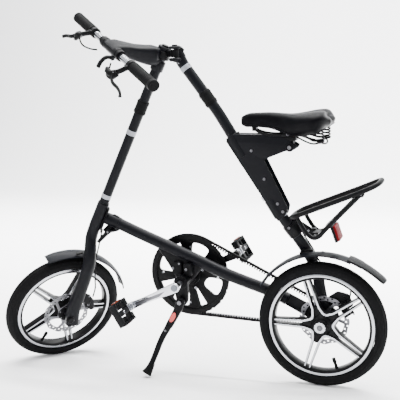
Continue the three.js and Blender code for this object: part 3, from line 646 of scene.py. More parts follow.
def guards():
    rear = guard(REAR_HUB, (149, 66), lambda s: 224 + 4 * ease(s, 0.2, 0.6) + 1 * ease(s, 0.8, 1),
                 lambda s: 20 + 7 * ease(s, 0.08, 0.4), 6, 2.6, 48)
    show("rear_guard", [rear], GUARD, "rear_frame", UP, ["rear_fender"])
    flap = guard(REAR_HUB, (69, 38), lambda s: 229 + 1 * ease(s, 0, 0.1) + 11 * s ** 2,
                 lambda s: 27 + 2 * ease(s, 0.0, 0.1) - 3.5 * ease(s, 0.34, 0.4) - 6 * ease(s, 0.92,
                                                                                            1.0) ** 2,
                 3, 7.0, 48)
    show("rear_guard_flap", [flap], PLASTIC, "rear_frame")
    block = [brick((-44, 17, 428), (34, 20, 12), 3), brick((-52, 10, 424), (30, 30, 8), 2)]
    show("rear_guard_mount", block, BLACK, "rear_frame")
    show("rear_guard_bolt", [bolt((4, 0, 430.5), Z, 4, 3), bolt((94, -20, 407), (0.4, 0, 0.9), 3, 1.5)],
         STEEL, "rear_frame")

    front = guard(FRONT_HUB, (99, 3.2), lambda s: 219 + 2.2 * ease(s, 0.7, 1),
                  lambda s: 22.5 + 2 * ease(s, 0, 0.1) - 2 * ease(s, 0.72, 0.8) - 2 * ease(s, 0.93, 1), 5,
                  4.4, 60)
    show("front_guard", [front], GUARD, "front_frame", TURNED, ["front_fender"])
    show("front_guard_mount", [brick((-808, -38, 401), (26, 30, 10), 2.5),
                               brick((-826, -20, 403), (30, 10, 6), 1.5)],
         BLACK, "front_frame", TURNED)


# ---------------------------------------------------------------- frame tubes
def band(center, direction, radius, width, name, body, matrix=UP):
    d = Vector(direction).normalized()
    show(name, [rod(center - d * width / 2, center + d * width / 2, radius, None, 40, 0.4)], BAND, body,
         matrix)


def rear_frame():
    path = [(-423, -2, 1005), (-415, -1, 994), (-346, 0, 899), (-314.5, 0, 855), (-262, 0, 769.5),
            (-200, 0, 668), (-116, 2, 531), (-97, 9, 500),
            (-79, 20, 471), (-52, 38, 420), (-32, 45, 375), (-24, 45, 345)]
    show("rear_tube_main", [sweep(path, 17, 90, 40)], PAINT, "rear_frame", UP, ["rear_tube"])
    along = (on_rear_tube(700) - on_rear_tube(900)).normalized()
    sleeve = [rod((-359.5, 0, 918), (-331.5, 0, 879), 19.6, None, 40, 1.5),
              rod((-356.5, 0, 913.8), (-352.2, 0, 907.8), 20.4, None, 40, 0.6),
              rod((-338.8, 0, 889.2), (-334.5, 0, 883.2), 20.4, None, 40, 0.6)]
    show("rear_tube_sleeve", sleeve, RUBBER, "rear_frame")
    band(Vector((-413, -1, 991)), Vector((0.58, 0, -0.81)), 17.8, 15, "rear_tube_band_top", "rear_frame")
    band(on_rear_tube(728), along, 17.5, 9, "rear_tube_band_middle", "rear_frame")
    band(on_rear_tube(538), along, 17.5, 8, "rear_tube_band_low", "rear_frame")

    neck = [(-446, -13, 1039), (-438, -9, 1038.5), (-431, -6, 1030), (-427, -4, 1016), (-420, -2, 1001)]
    show("hinge_neck", [sweep(neck, lambda s: 14.6 + 3 * ease(s, 0, 0.25), 30, 36)], PAINT, "rear_frame",
         UP,
         ["apex_yoke"])
    ears = [disc(HINGE, -24, -12.8, 18.5, 3.4, 0, 40, Z), disc(HINGE, 12.8, 22.6, 18.5, 3.2, 0, 40, Z),
            sweep([(-437, -24, 1054), (-428, -14, 1052), (-420, -6, 1042)], 8, 10, 20, ref=Z),
            sweep([(-437, -24, 1020), (-428, -14, 1019), (-414, -4, 1012)], 8, 10, 20, ref=Z)]
    show("hinge_ears", ears, PAINT, "rear_frame")
    knob = [(0, 22), (8, 22), (8.6, 23), (8.6, 25), (7.4, 26.4), (3.6, 26.8), (3.4, 25.2), (0, 25.2)]
    show("hinge_knob", [revolve(knob, HINGE, Z, 32), bolt(HINGE - Z * 24, -Z, 6, 2.5)], BLACK, "rear_frame")
    show("hinge_stay", [sweep([(-431, -24, 1010), (-424, -14, 1004), (-402, -8, 1002), (-398, -6, 1000)],
                              2.0, 12, 12)],
         STEEL, "rear_frame")

    outline = rounded([(-43, 368), (-6, 368), (4, 300), (20, 216), (16, 180), (-14, 180), (-22, 214),
                       (-31, 300)], 10)
    arm = rounded([(-2, 264), (40, 294), (76, 286), (90, 250), (70, 236), (40, 246), (18, 236), (4, 240)],
                  7)
    plates = [slab(outline, 40, 49, [circle(0, 200, 8.6)], 1.6), slab(arm, 47.9, 53, (), 1.4),
              disc(REAR_HUB, 39.2, 49.4, 24, 1.2, 8.6)]
    show("rear_dropout_plate", plates, PAINT, "rear_frame", UP, ["rear_dropout"])
    bolts = [bolt((56, 53, 274), Y, 4.4, 3), bolt((74, 53, 256), Y, 4.4, 3),
             bolt((-22, 49, 340), Y, 4, 2.5),
             bolt((-16, 49, 312), Y, 4, 2.5)]
    show("rear_dropout_bolts", bolts, STEEL, "rear_frame")
    axle = [rod((0, -32, 200), (0, 72, 200), 7.9, None, 32, 1), disc(REAR_HUB, 71.5, 79, 13, 1.2, 0, 6),
            disc(REAR_HUB, -39.5, -33.5, 7, 1.5, 0, 32)]
    show("rear_axle_shaft", axle, STEEL, "rear_frame", UP, ["rear_axle"])
    caliper("rear", (64, 0, 239), math.atan2(39, 64), 1, "rear_frame", UP)
    hose = [(77, 47, 272), (80, 52, 298), (58, 56, 336), (18, 52, 362), (-14, 46, 388), (-34, 38, 430),
            (-60, 20, 482), (-84, 12, 530)]
    show("rear_brake_hose", [sweep(hose, 2.6, 60, 12)], RUBBER, "rear_frame")


def rack():
    def rail(y):
        return [(-84, y * 0.5, 541), (-66, y * 0.93, 550), (-40, y, 561), (120, y * 0.97, 626),
                (156, y * 0.9, 642)]

    loop = rail(-RACK_HALF) + [(172, -34, 650), (178, 0, 654), (172, 34, 650)] + rail(RACK_HALF)[::-1]
    tubes = [sweep(loop, 7.5, 120, 20), rod((-84, -30, 541), (-84, 30, 541), 7.5)]
    for y in (-STRUT_SIDE, STRUT_SIDE):
        tubes.append(sweep([(-62, y, 545), (-45, y, 514), (-30, y, 494), (-14, y, 485), (2, y, 490),
                            (20, y, 510),
                            (126, y, 622)], 6.5, 60, 18))
    tubes.append(rod((-12, -STRUT_SIDE, 486), (-12, STRUT_SIDE, 486), 6.5))
    show("rack_tubes", tubes, BLACK, "rear_frame", UP, ["rack_frame"])
    joints = [disc((126, 0, 622), y - 5, y + 5, 9.6, 1.6, 0, 32) for y in (-STRUT_SIDE, STRUT_SIDE)]
    show("rack_joint_collars", joints, BLACK, "rear_frame")
    clamp_axis = (Vector((-80, 19, 478)) - Vector((-101, 6, 512))).normalized()
    low, high = Vector((-101, 6, 512)), Vector((-80, 19, 478))
    clamp = [rod(low, high, 22.5, None, 40, 2),
             brick((-52, 14, 494), (68, 15, 14), 3, None), rod((-80, 16, 500), (-80, 16, 534), 5.5),
             brick((-14, 0, 488), (18, 42, 15), 3),
             slab(rounded([(-96, 528), (-60, 520), (-28, 500), (-20, 478), (-40, 478), (-70, 492),
                           (-98, 500)], 6),
                  9, 13, (), 1)]
    show("rack_clamp_body", clamp, BLACK, "rear_frame", UP, ["rack_clamp"])
    bolts = [bolt(low + clamp_axis * 10 + Vector((0, -22.5, 0)), -Y, 4, 3),
             bolt((-40, 6.4, 494), -Y, 3.5, 2.4), bolt((-14, -21, 488), -Y, 3.6, 2.4),
             bolt((-84, -30, 541), -Y, 4.2, 2.4), bolt((-84, 30, 541), Y, 4.2, 2.4)]
    bolts += [bolt((126, s * (STRUT_SIDE + 5), 622), Y * s, 3.4, 2) for s in (-1, 1)]
    show("rack_bolts", bolts, STEEL, "rear_frame")

    tip = Matrix.Translation((44, 0, 494)) @ Matrix.Rotation(-0.32, 4, "Y")
    face = rounded([(-31, -24), (31, -24), (31, 24), (-31, 24)], 5)
    across = Matrix.Rotation(math.pi / 2, 4, "Z")
    housing = moved(slab(rounded([(-33, -26), (33, -26), (33, 26), (-33, 26)], 6), -4, 4.4, (), 1.5),
                    tip @ across)
    lens = moved(slab(face, -10.6, -4.2, (), 1.2), tip @ across)
    stay = [brick((30, 0, 519), (22, 2 * STRUT_SIDE - 18, 5), 1.5), brick((20, 0, 512), (6, 30, 16), 1.5)]
    show("reflector_case", [housing, *stay], PLASTIC, "rear_frame", UP, ["reflector_housing"])
    show("reflector_prism", [lens], RED, "rear_frame", UP, ["reflector_lens"])


def bottom_tube():
    path = [(-694, 20, 492), (-606, 20, 455.5), (-500, 20, 413.5), (-399, 20, 372), (-330, 24, 341),
            (-270, 33, 316), (-200, 43, 290), (-160, 46, 276), (-118, 46, 256)]
    show("bottom_tube_main", [sweep(path, 19, 70, 40, chamfer=2)], PAINT, "bottom", UP, ["bottom_tube"])
    lug = rounded([(-134, 284), (-10, 224), (15, 216), (24, 197), (12, 177), (-14, 178), (-130, 238)], 8)
    lugs = [slab(lug, 50, 58.2, [circle(0, 200, 8.6)], 1.5), disc(REAR_HUB, 50, 58.4, 23, 1.2, 8.6)]
    show("bottom_tube_lug", lugs, PAINT, "bottom")
    gusset = rounded([(-562, 440), (-380, 367), (-424, 310), (-474, 304), (-514, 372)], 16)
    hanger = rounded([(-476, 322), (-426, 322), (-430, 250), (-438, 236), (-460, 236), (-468, 250)], 9)
    shell = [disc(BRACKET, -34, 55, 21, 1.5, 9.4), slab(gusset, 8, 32, (), 4),
             slab(hanger, -33, -14, [circle(-449, 252, 5.4)], 3),
             disc(BRACKET, -36.5, -32, 23.5, 1.2, 9.6, 8), brick((-470, 4, 352), (30, 22, 40), 5),
             brick((-432, -2, 350), (26, 26, 38), 5)]
    show("bracket_shell", shell, BLACK, "bottom")
    bolts = [bolt((-484, -7, 352), -Y, 4.5, 3), bolt((-436, -15.5, 352), -Y, 4.5, 3),
             bolt((-462, -8, 368), -Y, 3.5, 2.4),
             bolt((-120, 58, 250), Y, 4, 2.5), bolt((-40, 58, 222), Y, 4, 2.5)]
    show("bracket_bolts", bolts, STEEL, "bottom")
    show("stand_pin", [rod((-449, -57, 252), (-449, -14, 252), 4.9),
                       disc((-449, 0, 252), -58.4, -54.6, 8, 1.2, 0, 6)],
         STEEL, "bottom", UP, ["stand_pivot"])


def steering_cup():
    """Open cup at the nose of the bottom tube, with its gusset and the latch that closes it."""
    centre = on_axis(507)
    arc_from, arc_to = math.radians(-8), math.radians(84)
    u, v = Vector((AXIS_UP.z, 0, -AXIS_UP.x)), Y
    rings = []
    for h in (-45, -43, -20, 0, 20, 43, 45):
        trim = 0.8 if abs(h) == 45 else 0.0
        ease_back = 6.5 * max(0.0, min(1.0, (20 - h) / 60))
        loop = []
        for outer in (1, 0):
            for i in range(15):
                t = i / 14 if outer else 1 - i / 14
                a = arc_from + (arc_to - arc_from) * t
                r = 26.8 - trim if outer else 21.6 + trim + ease_back * 0.62 * max(0.0, math.cos(a))
                loop.append(centre + AXIS_UP * h + u * (r * math.cos(a)) + v * (r * math.sin(a)))
        rings.append(loop)
    show("cup_shell", [stitch(rings, True)], BLACK, "bottom", UP, ["steering_cup"])
    gusset = rounded([(-700, 520), (-674, 508), (-680, 462), (-722, 451), (-742, 462), (-716, 486)], 8)
    show("cup_gusset", [slab(gusset, 13, 24, (), 2), disc((-706, 0, 464), -8, 14, 7, 1, 0, 28)], BLACK,
         "bottom")
    collar = show("cup_collar", [sweep([(-722, 17, 503), (-706, 18, 497), (-678, 20, 485.6)], 20.4, 12, 44,
                                       ref=Y)],
                  PAINT, "bottom")
    carve(collar, [rod(on_axis(430), on_axis(600), 21.6, None, 64, 0)])
    show("cup_bolts", [bolt((-690, 13, 472), -Y, 4, 2.4), bolt((-688, 12.6, 500), -Y, 4, 2.4)], STEEL,
         "bottom")
    lever = rounded([(-713, 470), (-699, 461), (-741, 424), (-751, 430)], 5)
    show("latch_blade", [slab(lever, -17, -11, (), 1.8), disc((-706, 0, 464), -18, -8.8, 8, 1.2, 2.6, 32)],
         BLACK, "latch", UP, ["latch_lever"])
    show("latch_bolt", [bolt((-706, -17.6, 464), -Y, 3.6, 2)], STEEL, "latch")


# ---------------------------------------------------------------- saddle and its bracket
def seat_bracket():
    outline = [(-287, 770), (-266, 791), (-150, 789), (-114, 786), (-64, 757), (-74, 744), (-100, 741),
               (-168, 714), (-98, 570), (-104, 545), (-128, 524), (-146, 552)]
    side = rounded(outline, 6)
    plates = [slab(side, -21.5, -18.6, (), 1.2), slab(side, 18.6, 21.5, (), 1.2)]
    plates.append(slab(rounded([(-285, 773), (-264, 789), (-119, 785), (-113, 771), (-262, 777)], 3), -19,
                       19, (), 1))
    direction = (on_rear_tube(735) - on_rear_tube(770)).normalized()
    show("seat_bracket_plates", plates, PAINT, "saddle", UP, ["seat_bracket"])
    hollow = []
    for low, high in ((785, 722), (592, 540)):
        a, b = on_rear_tube(low), on_rear_tube(high)
        length = (b - a).length
        hollow.append(revolve([(18.2, 0), (22.6, 0), (23.6, 1.2), (23.6, length - 1.2), (22.6, length),
                               (18.2, length)],
                              a, direction, 48))
    show("seat_bracket_collars", hollow, PAINT, "saddle")
    spots = [(-206, 741), (-168, 655), (-128, 580), (-112, 556)]
    bolts = [bolt((x, s * 21.5, z), Y * s, 4.6, 3.4) for x, z in spots for s in (-1, 1)]
    show("seat_bracket_bolts", bolts, STEEL, "saddle")
    # Painted highlight: silver wedges on the front of the rear tube stand in for the tube's highlight
    # lines, which the bracket plates cover
    painted_highlight_wedges = [brick(on_rear_tube(z) + Vector((-15.5, 0, -9)), (9, 30, 16), 2,
                   Matrix.Rotation(-0.55, 3, "Y").to_4x4())
             for z in (712, 601)]
    show("seat_bracket_painted_highlights", painted_highlight_wedges, SILVER, "saddle")
    show("seat_bracket_eye", [disc((-88, 0, 752), -26, -19, 13, 1.6, 0, 40),
                              disc((-88, 0, 752), 19, 26, 13, 1.6, 0, 40)],
         PAINT, "saddle")


def saddle():
    def width(s):
        nose = 18 * (0.62 + 0.38 * min(1.0, max(0.0, s) / 0.07) ** 0.5)
        swell = 9 * ease(s, 0.1, 0.45) + 66 * ease(s, 0.42, 0.86)
        tail = 1 - 0.5 * max(0.0, (s - 0.86) / 0.14) ** 2.4
        return (nose + swell) * tail + 0.6

    def top(s):
        return 853 - 8 * (1 - min(1.0, s / 0.1)) ** 2 + 2 * ease(s, 0.0, 0.3) - 4 * ease(s, 0.3, 0.55) \
            + 11 * ease(s, 0.55, 0.9) - 18 * max(0.0, (s - 0.9) / 0.1) ** 2

    def under(s):
        nose_roll = 5 * (1 - min(1.0, s / 0.08)) ** 2
        return 809 + nose_roll - 5 * ease(s, 0.1, 0.32) - 27 * ease(s, 0.28, 0.62) + 8 * ease(s, 0.7,
                                                                                              0.86) \
            + 26 * ease(s, 0.86, 1.0)

    stations, sides = 56, 48
    rings = []
    for i in range(stations + 1):
        s = i / stations
        x = -234 + 269 * s
        w, zt, zb = width(s), top(s), under(s)
        mid = zb + (zt - zb) * (0.46 + 0.16 * ease(s, 0.4, 0.7))
        loop = []
        for j in range(sides):
            a = 2 * math.pi * j / sides
            c, d = math.cos(a), math.sin(a)
            y = math.copysign(abs(c) ** 0.72, c) * w
            if d >= 0:
                lobes = 1 - 0.32 * (1 - min(1.0, abs(y) / max(w * 0.42, 1))) ** 2 * ease(s, 0.5, 0.78)
                z = mid + (zt - mid) * abs(d) ** 0.78 * (lobes if abs(y) < w * 0.42 else 1)
            else:
                tuck = 1 - 0.16 * abs(d) * ease(s, 0.35, 0.7)
                y *= tuck
                z = mid - (mid - zb) * abs(d) ** 0.62
            tail = 14 * (1 - (abs(y) / w) ** 2) * ease(s, 0.93, 1.0)
            loop.append(Vector((x - tail, y, z)))
        rings.append(loop)
    for end, first in ((rings[0], -1), (rings[-1], 1)):
        middle = sum(end, Vector()) / len(end)
        caps = [[middle + (p - middle) * shrink + Vector((first * push, 0, 0)) for p in end]
                for shrink, push in ((0.93, 2.6), (0.8, 4.6), (0.6, 6), (0.35, 6.8), (0.12, 7))]
        rings = caps[::-1] + rings if first < 0 else rings + caps
    cover = show("saddle_pad", [stitch(rings, True)], LEATHER, "saddle", UP, ["saddle_cover"], sharp=80,
                 subdivide=1)
    hollow = []
    for i in range(33):
        s = 0.05 + 0.88 * i / 32
        w, zb = width(s) * (0.78 - 0.04 * ease(s, 0.4, 0.8)), under(s)
        roof = max(zb + 8, 820 - 4 * ease(s, 0.3, 0.6))
        hollow.append([Vector((-240 + 281 * s, w * c, z)) for c, z in
                       ((-1, zb - 30), (-1, roof - 6), (-0.9, roof), (0.9, roof), (1, roof - 6),
                        (1, zb - 30))])
    carve(cover, [stitch(hollow, True)])

    def on_edge(s, side, lift=0.42, out=1.0):
        return Vector((-240 + 281 * s, side * width(s) * out, under(s) + (top(s) - under(s)) * lift))

    for side, word in ((-1, "left"), (1, "right")):
        line = [on_edge(s / 24, side, 0.2, 0.965) for s in range(1, 24)]
        show(f"saddle_piping_{word}", [sweep(line, 1.7, 90, 10, ref=Z)], LEATHER, "saddle")
    shell = []
    for i in range(29):
        s = 0.055 + 0.86 * i / 28
        w = width(s) * 0.76
        roof = max(under(s) + 7.4, 819.4 - 4 * ease(s, 0.3, 0.6))
        x = -240 + 281 * s
        shell.append([Vector((x, w * c, roof + d)) for c, d in
                      ((-1, -7), (-0.96, -8), (-0.7, -5), (0, -4), (0.7, -5), (0.96, -8), (1, -7),
                       (0.9, -0.2),
                       (0, -0.2), (-0.9, -0.2))])
    show("saddle_base", [stitch(shell, True)], PLASTIC, "saddle", UP, ["saddle_shell"])

    def rail(side):
        return [(-200, side * 9, 806), (-184, side * 14, 797), (-156, side * 20, 790),
                (-110, side * 22, 789),
                (-62, side * 23, 789), (-34, side * 33, 784), (-12, side * 44, 776), (8, side * 50, 776)]

    rails = [sweep(rail(s), 3.8, 50, 14) for s in (-1, 1)] + [brick((-199, 0, 806), (14, 24, 14), 3)]
    show("saddle_rail_wires", rails, ALLOY, "saddle", UP, ["saddle_rails"])
    coils = []
    for s in (-1, 1):
        turns = [2 * math.pi * 4 * i / 64 for i in range(65)]
        helix = [(10 + 10 * math.cos(t), s * 50 + 10 * math.sin(t),
                  775 + 34 * t / (8 * math.pi)) for t in turns]
        coils.append(sweep(helix, 2.3, 180, 10, ref=Z))
        coils.append(rod((10, s * 50, 771), (10, s * 50, 776), 11, None, 24, 1))
        coils.append(sweep([(-66, s * 26, 785), (-40, s * 34, 773), (-14, s * 42, 766), (8, s * 50, 770)],
                           2.8, 20, 12))
    coils.append(sweep([(8, -50, 771), (16, -26, 765), (18, 0, 763), (16, 26, 765), (8, 50, 771)], 2.8, 30,
                       12, ref=Z))
    show("saddle_springs", coils, ALLOY, "saddle")
    clamp = [brick((-92, 0, 778), (46, 42, 14), 3), brick((-92, 0, 791), (32, 54, 9), 2.5),
             brick((-90, 0, 768), (24, 30, 16), 3), disc((-88, 0, 752), -26, 26, 10.4, 1)]
    show("saddle_clamp_body", clamp, BLACK, "saddle", UP, ["saddle_clamp"])
    show("saddle_clamp_bolts", [bolt((-92, s * 27, 791), Y * s, 4.4, 3) for s in (-1, 1)] +
         [bolt((-88, s * 26, 752), Y * s, 6, 3) for s in (-1, 1)] +
         [bolt((8, s * 50, 770), -Z, 5, 3) for s in (-1, 1)], STEEL, "saddle")


# ---------------------------------------------------------------- belt drive, cranks and pedals
def drive():
    def wheel_outline(center, radius, teeth, depth):
        out = []
        for i in range(teeth):
            for share, cut in ((0.05, 0), (0.35, 0), (0.55, depth), (0.85, depth)):
                a = 2 * math.pi * (i + share) / teeth
                out.append((center.x + (radius - cut) * math.cos(a),
                            center.z + (radius - cut) * math.sin(a)))
        return out

    def polar(radius, degrees):
        a = math.radians(degrees)
        return (BRACKET.x + radius * math.cos(a), BRACKET.z + radius * math.sin(a))

    holes = []
    for k in range(4):
        a = 68 + 90 * k
        holes.append(rounded([polar(54, a - 17), polar(60, a + 17), polar(112, a + 17), polar(114, a),
                              polar(112, a - 17)], 15, 5))
        b = a + 45
        holes.append(rounded([polar(52, b - 4), polar(52, b + 4), polar(112, b + 6.5), polar(112, b - 6.5)],
                             5, 4))
    holes.append(circle(BRACKET.x, BRACKET.z, 9.4))
    disc_shape = slab(wheel_outline(BRACKET, 131.5, 72, 2.0), 61.2, 68.8, holes, 0.4)
    guard_ring = []
    for i in range(20):
        for share, drop in ((0.0, 0), (0.78, 0), (0.82, 3.0), (0.96, 3.0)):
            a = 2 * math.pi * (i + share) / 20
            guard_ring.append((BRACKET.x + (136 - drop) * math.cos(a),
                               BRACKET.z + (136 - drop) * math.sin(a)))
    ring_inner = circle(BRACKET.x, BRACKET.z, 118, 80)
    ring = slab(guard_ring, 57.6, 60.4, [ring_inner], 0.5)
    spider = [disc(BRACKET, 57, 73, 34, 2, 9.4)]
    show("pulley_disc", [disc_shape, *spider], ALLOY, "crankset", UP, ["drive_pulley"])
    show("pulley_guard", [ring], ALLOY, "crankset")
    bolts = [bolt((polar(47, a)[0], 61, polar(47, a)[1]), -Y, 5, 4) for a in (23, 113, 203, 293)]
    bolts += [bolt((polar(96, a)[0], 61, polar(96, a)[1]), -Y, 4, 2) for a in (-2, 88, 178, 268)]
    show("pulley_bolts", bolts, SILVER, "crankset")

    toothed = wheel_outline(REAR_HUB, SPROCKET_RADIUS - 0.3, 18, 2.0)
    show("sprocket_disc", [slab(toothed, 60, 69.4, [circle(0, 200, 8.5)], 0.5),
                           disc(REAR_HUB, 58.9, 60.8, 39.5, 0.5, 8.5),
                           disc(REAR_HUB, 69.2, 70.8, 20, 0.6, 8.5)], ALLOY, "sprocket", UP,
                           ["rear_sprocket"])

    def run(grow):
        """Points of the belt line around the pulley and the sprocket."""
        delta = REAR_HUB - BRACKET
        heading = math.atan2(delta.z, delta.x)
        big, small = PULLEY_RADIUS + grow, SPROCKET_RADIUS + grow
        wrap = math.acos((big - small) / math.hypot(delta.x, delta.z))
        pitch, pts = 1.0, []
        for centre, r, a0, a1 in ((BRACKET, big, heading + wrap, heading + 2 * math.pi - wrap),
                                  (REAR_HUB, small, heading - wrap, heading + wrap)):
            n = max(2, int(abs(a1 - a0) * r / pitch))
            arc = [(centre.x + r * math.cos(a0 + (a1 - a0) * i / n),
                    centre.z + r * math.sin(a0 + (a1 - a0) * i / n))
                   for i in range(n + 1)]
            if pts:
                a, b = Vector(pts[-1]), Vector(arc[0])
                m = int((b - a).length / pitch)
                pts += [tuple(a.lerp(b, i / m)) for i in range(1, m)]
            pts += arc
        a, b = Vector(pts[-1]), Vector(pts[0])
        m = int((b - a).length / pitch)
        return pts + [tuple(a.lerp(b, i / m)) for i in range(1, m)]

    line = [Vector(p) for p in run(2.6)]
    outer, inner = [], []
    travel = 0.0
    for i, p in enumerate(line):
        step = line[(i + 1) % len(line)] - p
        d = (line[(i + 1) % len(line)] - line[i - 1]).normalized()
        out = Vector((d.y, -d.x))
        low = (travel % 9.0) < 5.2
        travel += step.length
        if i % 4 == 0:
            outer.append(tuple(p + out * 3.6))
        depth = -8.6 if low else -2.8
        if not inner or inner[-1][1] != depth:
            inner.append((p + out * depth, depth))
            if len(inner) > 1:
                inner.insert(-1, (p + out * inner[-2][1], inner[-2][1]))
    band_shape = slab(outer, 60.8, 69.4, [[tuple(p) for p, _ in inner]], 0.2)
    show("toothed_belt", [band_shape], RUBBER, "bottom", UP, ["belt"])

    show("spindle", [rod((-450, -88, 312), (-450, 89.4, 312), 8.9)], STEEL, "crankset", UP,
         ["crank_spindle"])


def crank(word, side):
    """Tapered crank arm with a raised spine and end caps."""
    inner, outer = (-90, -77) if side < 0 else (74, 88)
    turn = Matrix.Translation(BRACKET) @ Matrix.Rotation(math.pi - CRANK_DROP if side < 0 else -CRANK_DROP,
                                                         4, "Y")
    arm = [(16 * math.cos(a),
            16 * math.sin(a)) for a in [math.pi / 2 + math.pi * i / 12 for i in range(13)]]
    arm += [(30, -14.5), (70, -11.5), (120, -10.6), (158, -12)]
    arm += [(CRANK_LENGTH + 12.4 * math.cos(a), 12.4 * math.sin(a)) for a in
            [-math.pi / 2 + math.pi * i / 10 for i in range(11)]]
    arm += [(158, 12), (120, 10.6), (70, 11.5), (30, 14.5)]
    low, high = min(inner, outer), max(inner, outer)
    body = slab(arm, low, high, (), 2.4)
    face = low if side < 0 else high
    ridge = slab(rounded([(34, -2), (150, -6), (150, 6), (60, 7)], 4), *sorted((face, face + side * 1.0)),
                 (), 0.4)
    mat = POLISH if side < 0 else ALLOY
    show(f"crank_{word}_arm", [moved(body, turn)], mat, "crankset", UP, [f"crank_{word}"], sharp=26)
    show(f"crank_{word}_ridge", [moved(ridge, turn)], STEEL, "crankset", UP, sharp=26)
    boss = [disc(BRACKET, *sorted((side * 72, side * 90.5)), 15.4, 1.4, 0, 40)]
    show(f"crank_{word}_boss", boss, mat, "crankset")
    cap = [disc(BRACKET, *sorted((side * 90.2, side * 93.5)), 11, 1.4, 0, 40)]
    show(f"crank_{word}_cap", cap, CAP_GREY, "crankset")


def pedal(word, side):
    """Folding platform pedal on its pivot block."""
    end = BRACKET + Vector((math.cos(CRANK_DROP), 0, math.sin(CRANK_DROP))) * (CRANK_LENGTH * side)

    def at(x, y, z):
        return Vector((end.x + x, side * y, end.z + z))

    def span(a, b):
        return sorted((side * a, side * b))

    place = UP @ shift(end) @ Matrix.Rotation(PEDAL_TILT, 4, "Y") @ shift(-end)
    block = [disc(end, *span(73, 104), 4.9, 0.6, 0, 24), disc(end, *span(91.2, 96.5), 13.6, 1.2, 0, 32),
             brick(at(0, 102.6, 0), (21, 12.6, 15.2), 2.5), rod(at(-12.4, 110, 0), at(12.4, 110, 0), 4.4)]
    show(f"pedal_{word}_block", block, SILVER, f"pedal_axle_{word}", place, [f"pedal_knuckle_{word}"])
    cage = []
    for x in (-33.5, 33.5):
        cage.append(brick(at(x, 152, 0), (8, 82, 22), 2.2))
        for k in range(7):
            cage.append(brick(at(x, 118 + 11.4 * k, 0), (9, 4.4, 25.4), 1.2))
    cage.append(brick(at(0, 156, 0), (18, 66, 19), 4))
    cage.append(brick(at(0, 189.4, 0), (66, 8, 23), 3))
    for x in (-22.5, 22.5):
        cage.append(brick(at(x, 119.6, 0), (18, 17.6, 21), 3))
        cage.append(brick(at(x, 156, 0), (20, 5, 15), 1.4))
    cage.append(brick(at(0, 125, 0), (34, 7, 20), 2))
    show(f"pedal_{word}_cage", cage, PLASTIC, f"pedal_{word}", place, [f"pedal_body_{word}"])
    lens = [brick(at(x, 156, 0), (3, 40, 13), 1) for x in (-39.6, 38.4)]
    show(f"pedal_{word}_reflectors", lens, ORANGE, f"pedal_{word}", place, [f"pedal_reflector_{word}"])
    show(f"pedal_{word}_plate", [brick(at(0, 121.4, 0), (24, 4, 20), 1.2),
                                 bolt(at(0, 156, 9.4), Z, 4.5, 1.6),
                                 bolt(at(0, 156, -9.4), -Z, 4.5, 1.6)], SILVER, f"pedal_{word}", place)


def side_stand():
    upper = [(-450, -45, 256), (-455, -45.6, 234), (-470, -48, 204), (-490, -52, 169)]
    lower = [(-484, -50.5, 179), (-512, -62, 129), (-530, -82, 78), (-540, -100, 46)]
    leg = [sweep(upper, lambda s: 14.5 - 2.6 * s, 24, 28, lambda s: 7.4, 2.6),
           disc((-449, 0, 252), -52, -37.6, 15, 1.6, 5.5, 40),
           sweep(lower, lambda s: 10.4 - 1.6 * s, 30, 28, lambda s: 7.2, 2.4),
           brick((-494, -54, 162), (20, 16, 22), 3, Matrix.Rotation(0.5, 3, "Y").to_4x4())]
    show("stand_leg_body", leg, BLACK, "stand", UP, ["stand_leg"])
    badge_turn = Matrix.Translation((-473, -57.2, 202)) @ Matrix.Rotation(0.5, 4,
                                                                          "Y") @ Matrix.Rotation(0.06, 4,
                                                                                                 "X")
    oval = [(8 * math.cos(t), 19 * math.sin(t)) for t in [2 * math.pi * i / 36 for i in range(36)]]
    show("stand_badge", [moved(slab(oval, -1.4, 0.8, (), 0.5), badge_turn)], PINK, "stand")
    show("stand_bolts", [bolt((-499, -61.4, 156), -Y, 4.2, 2.4)], STEEL, "stand")
    foot = [sweep([(-536, -94, 57), (-542, -104, 40), (-550, -116, 24)], lambda s: 10.5 + 7 * s * s, 20, 28,
                  lambda s: 10 + 4 * s, 2.0, chamfer=4)]
    show("stand_foot_pad", foot, RUBBER, "stand", UP, ["stand_foot"])


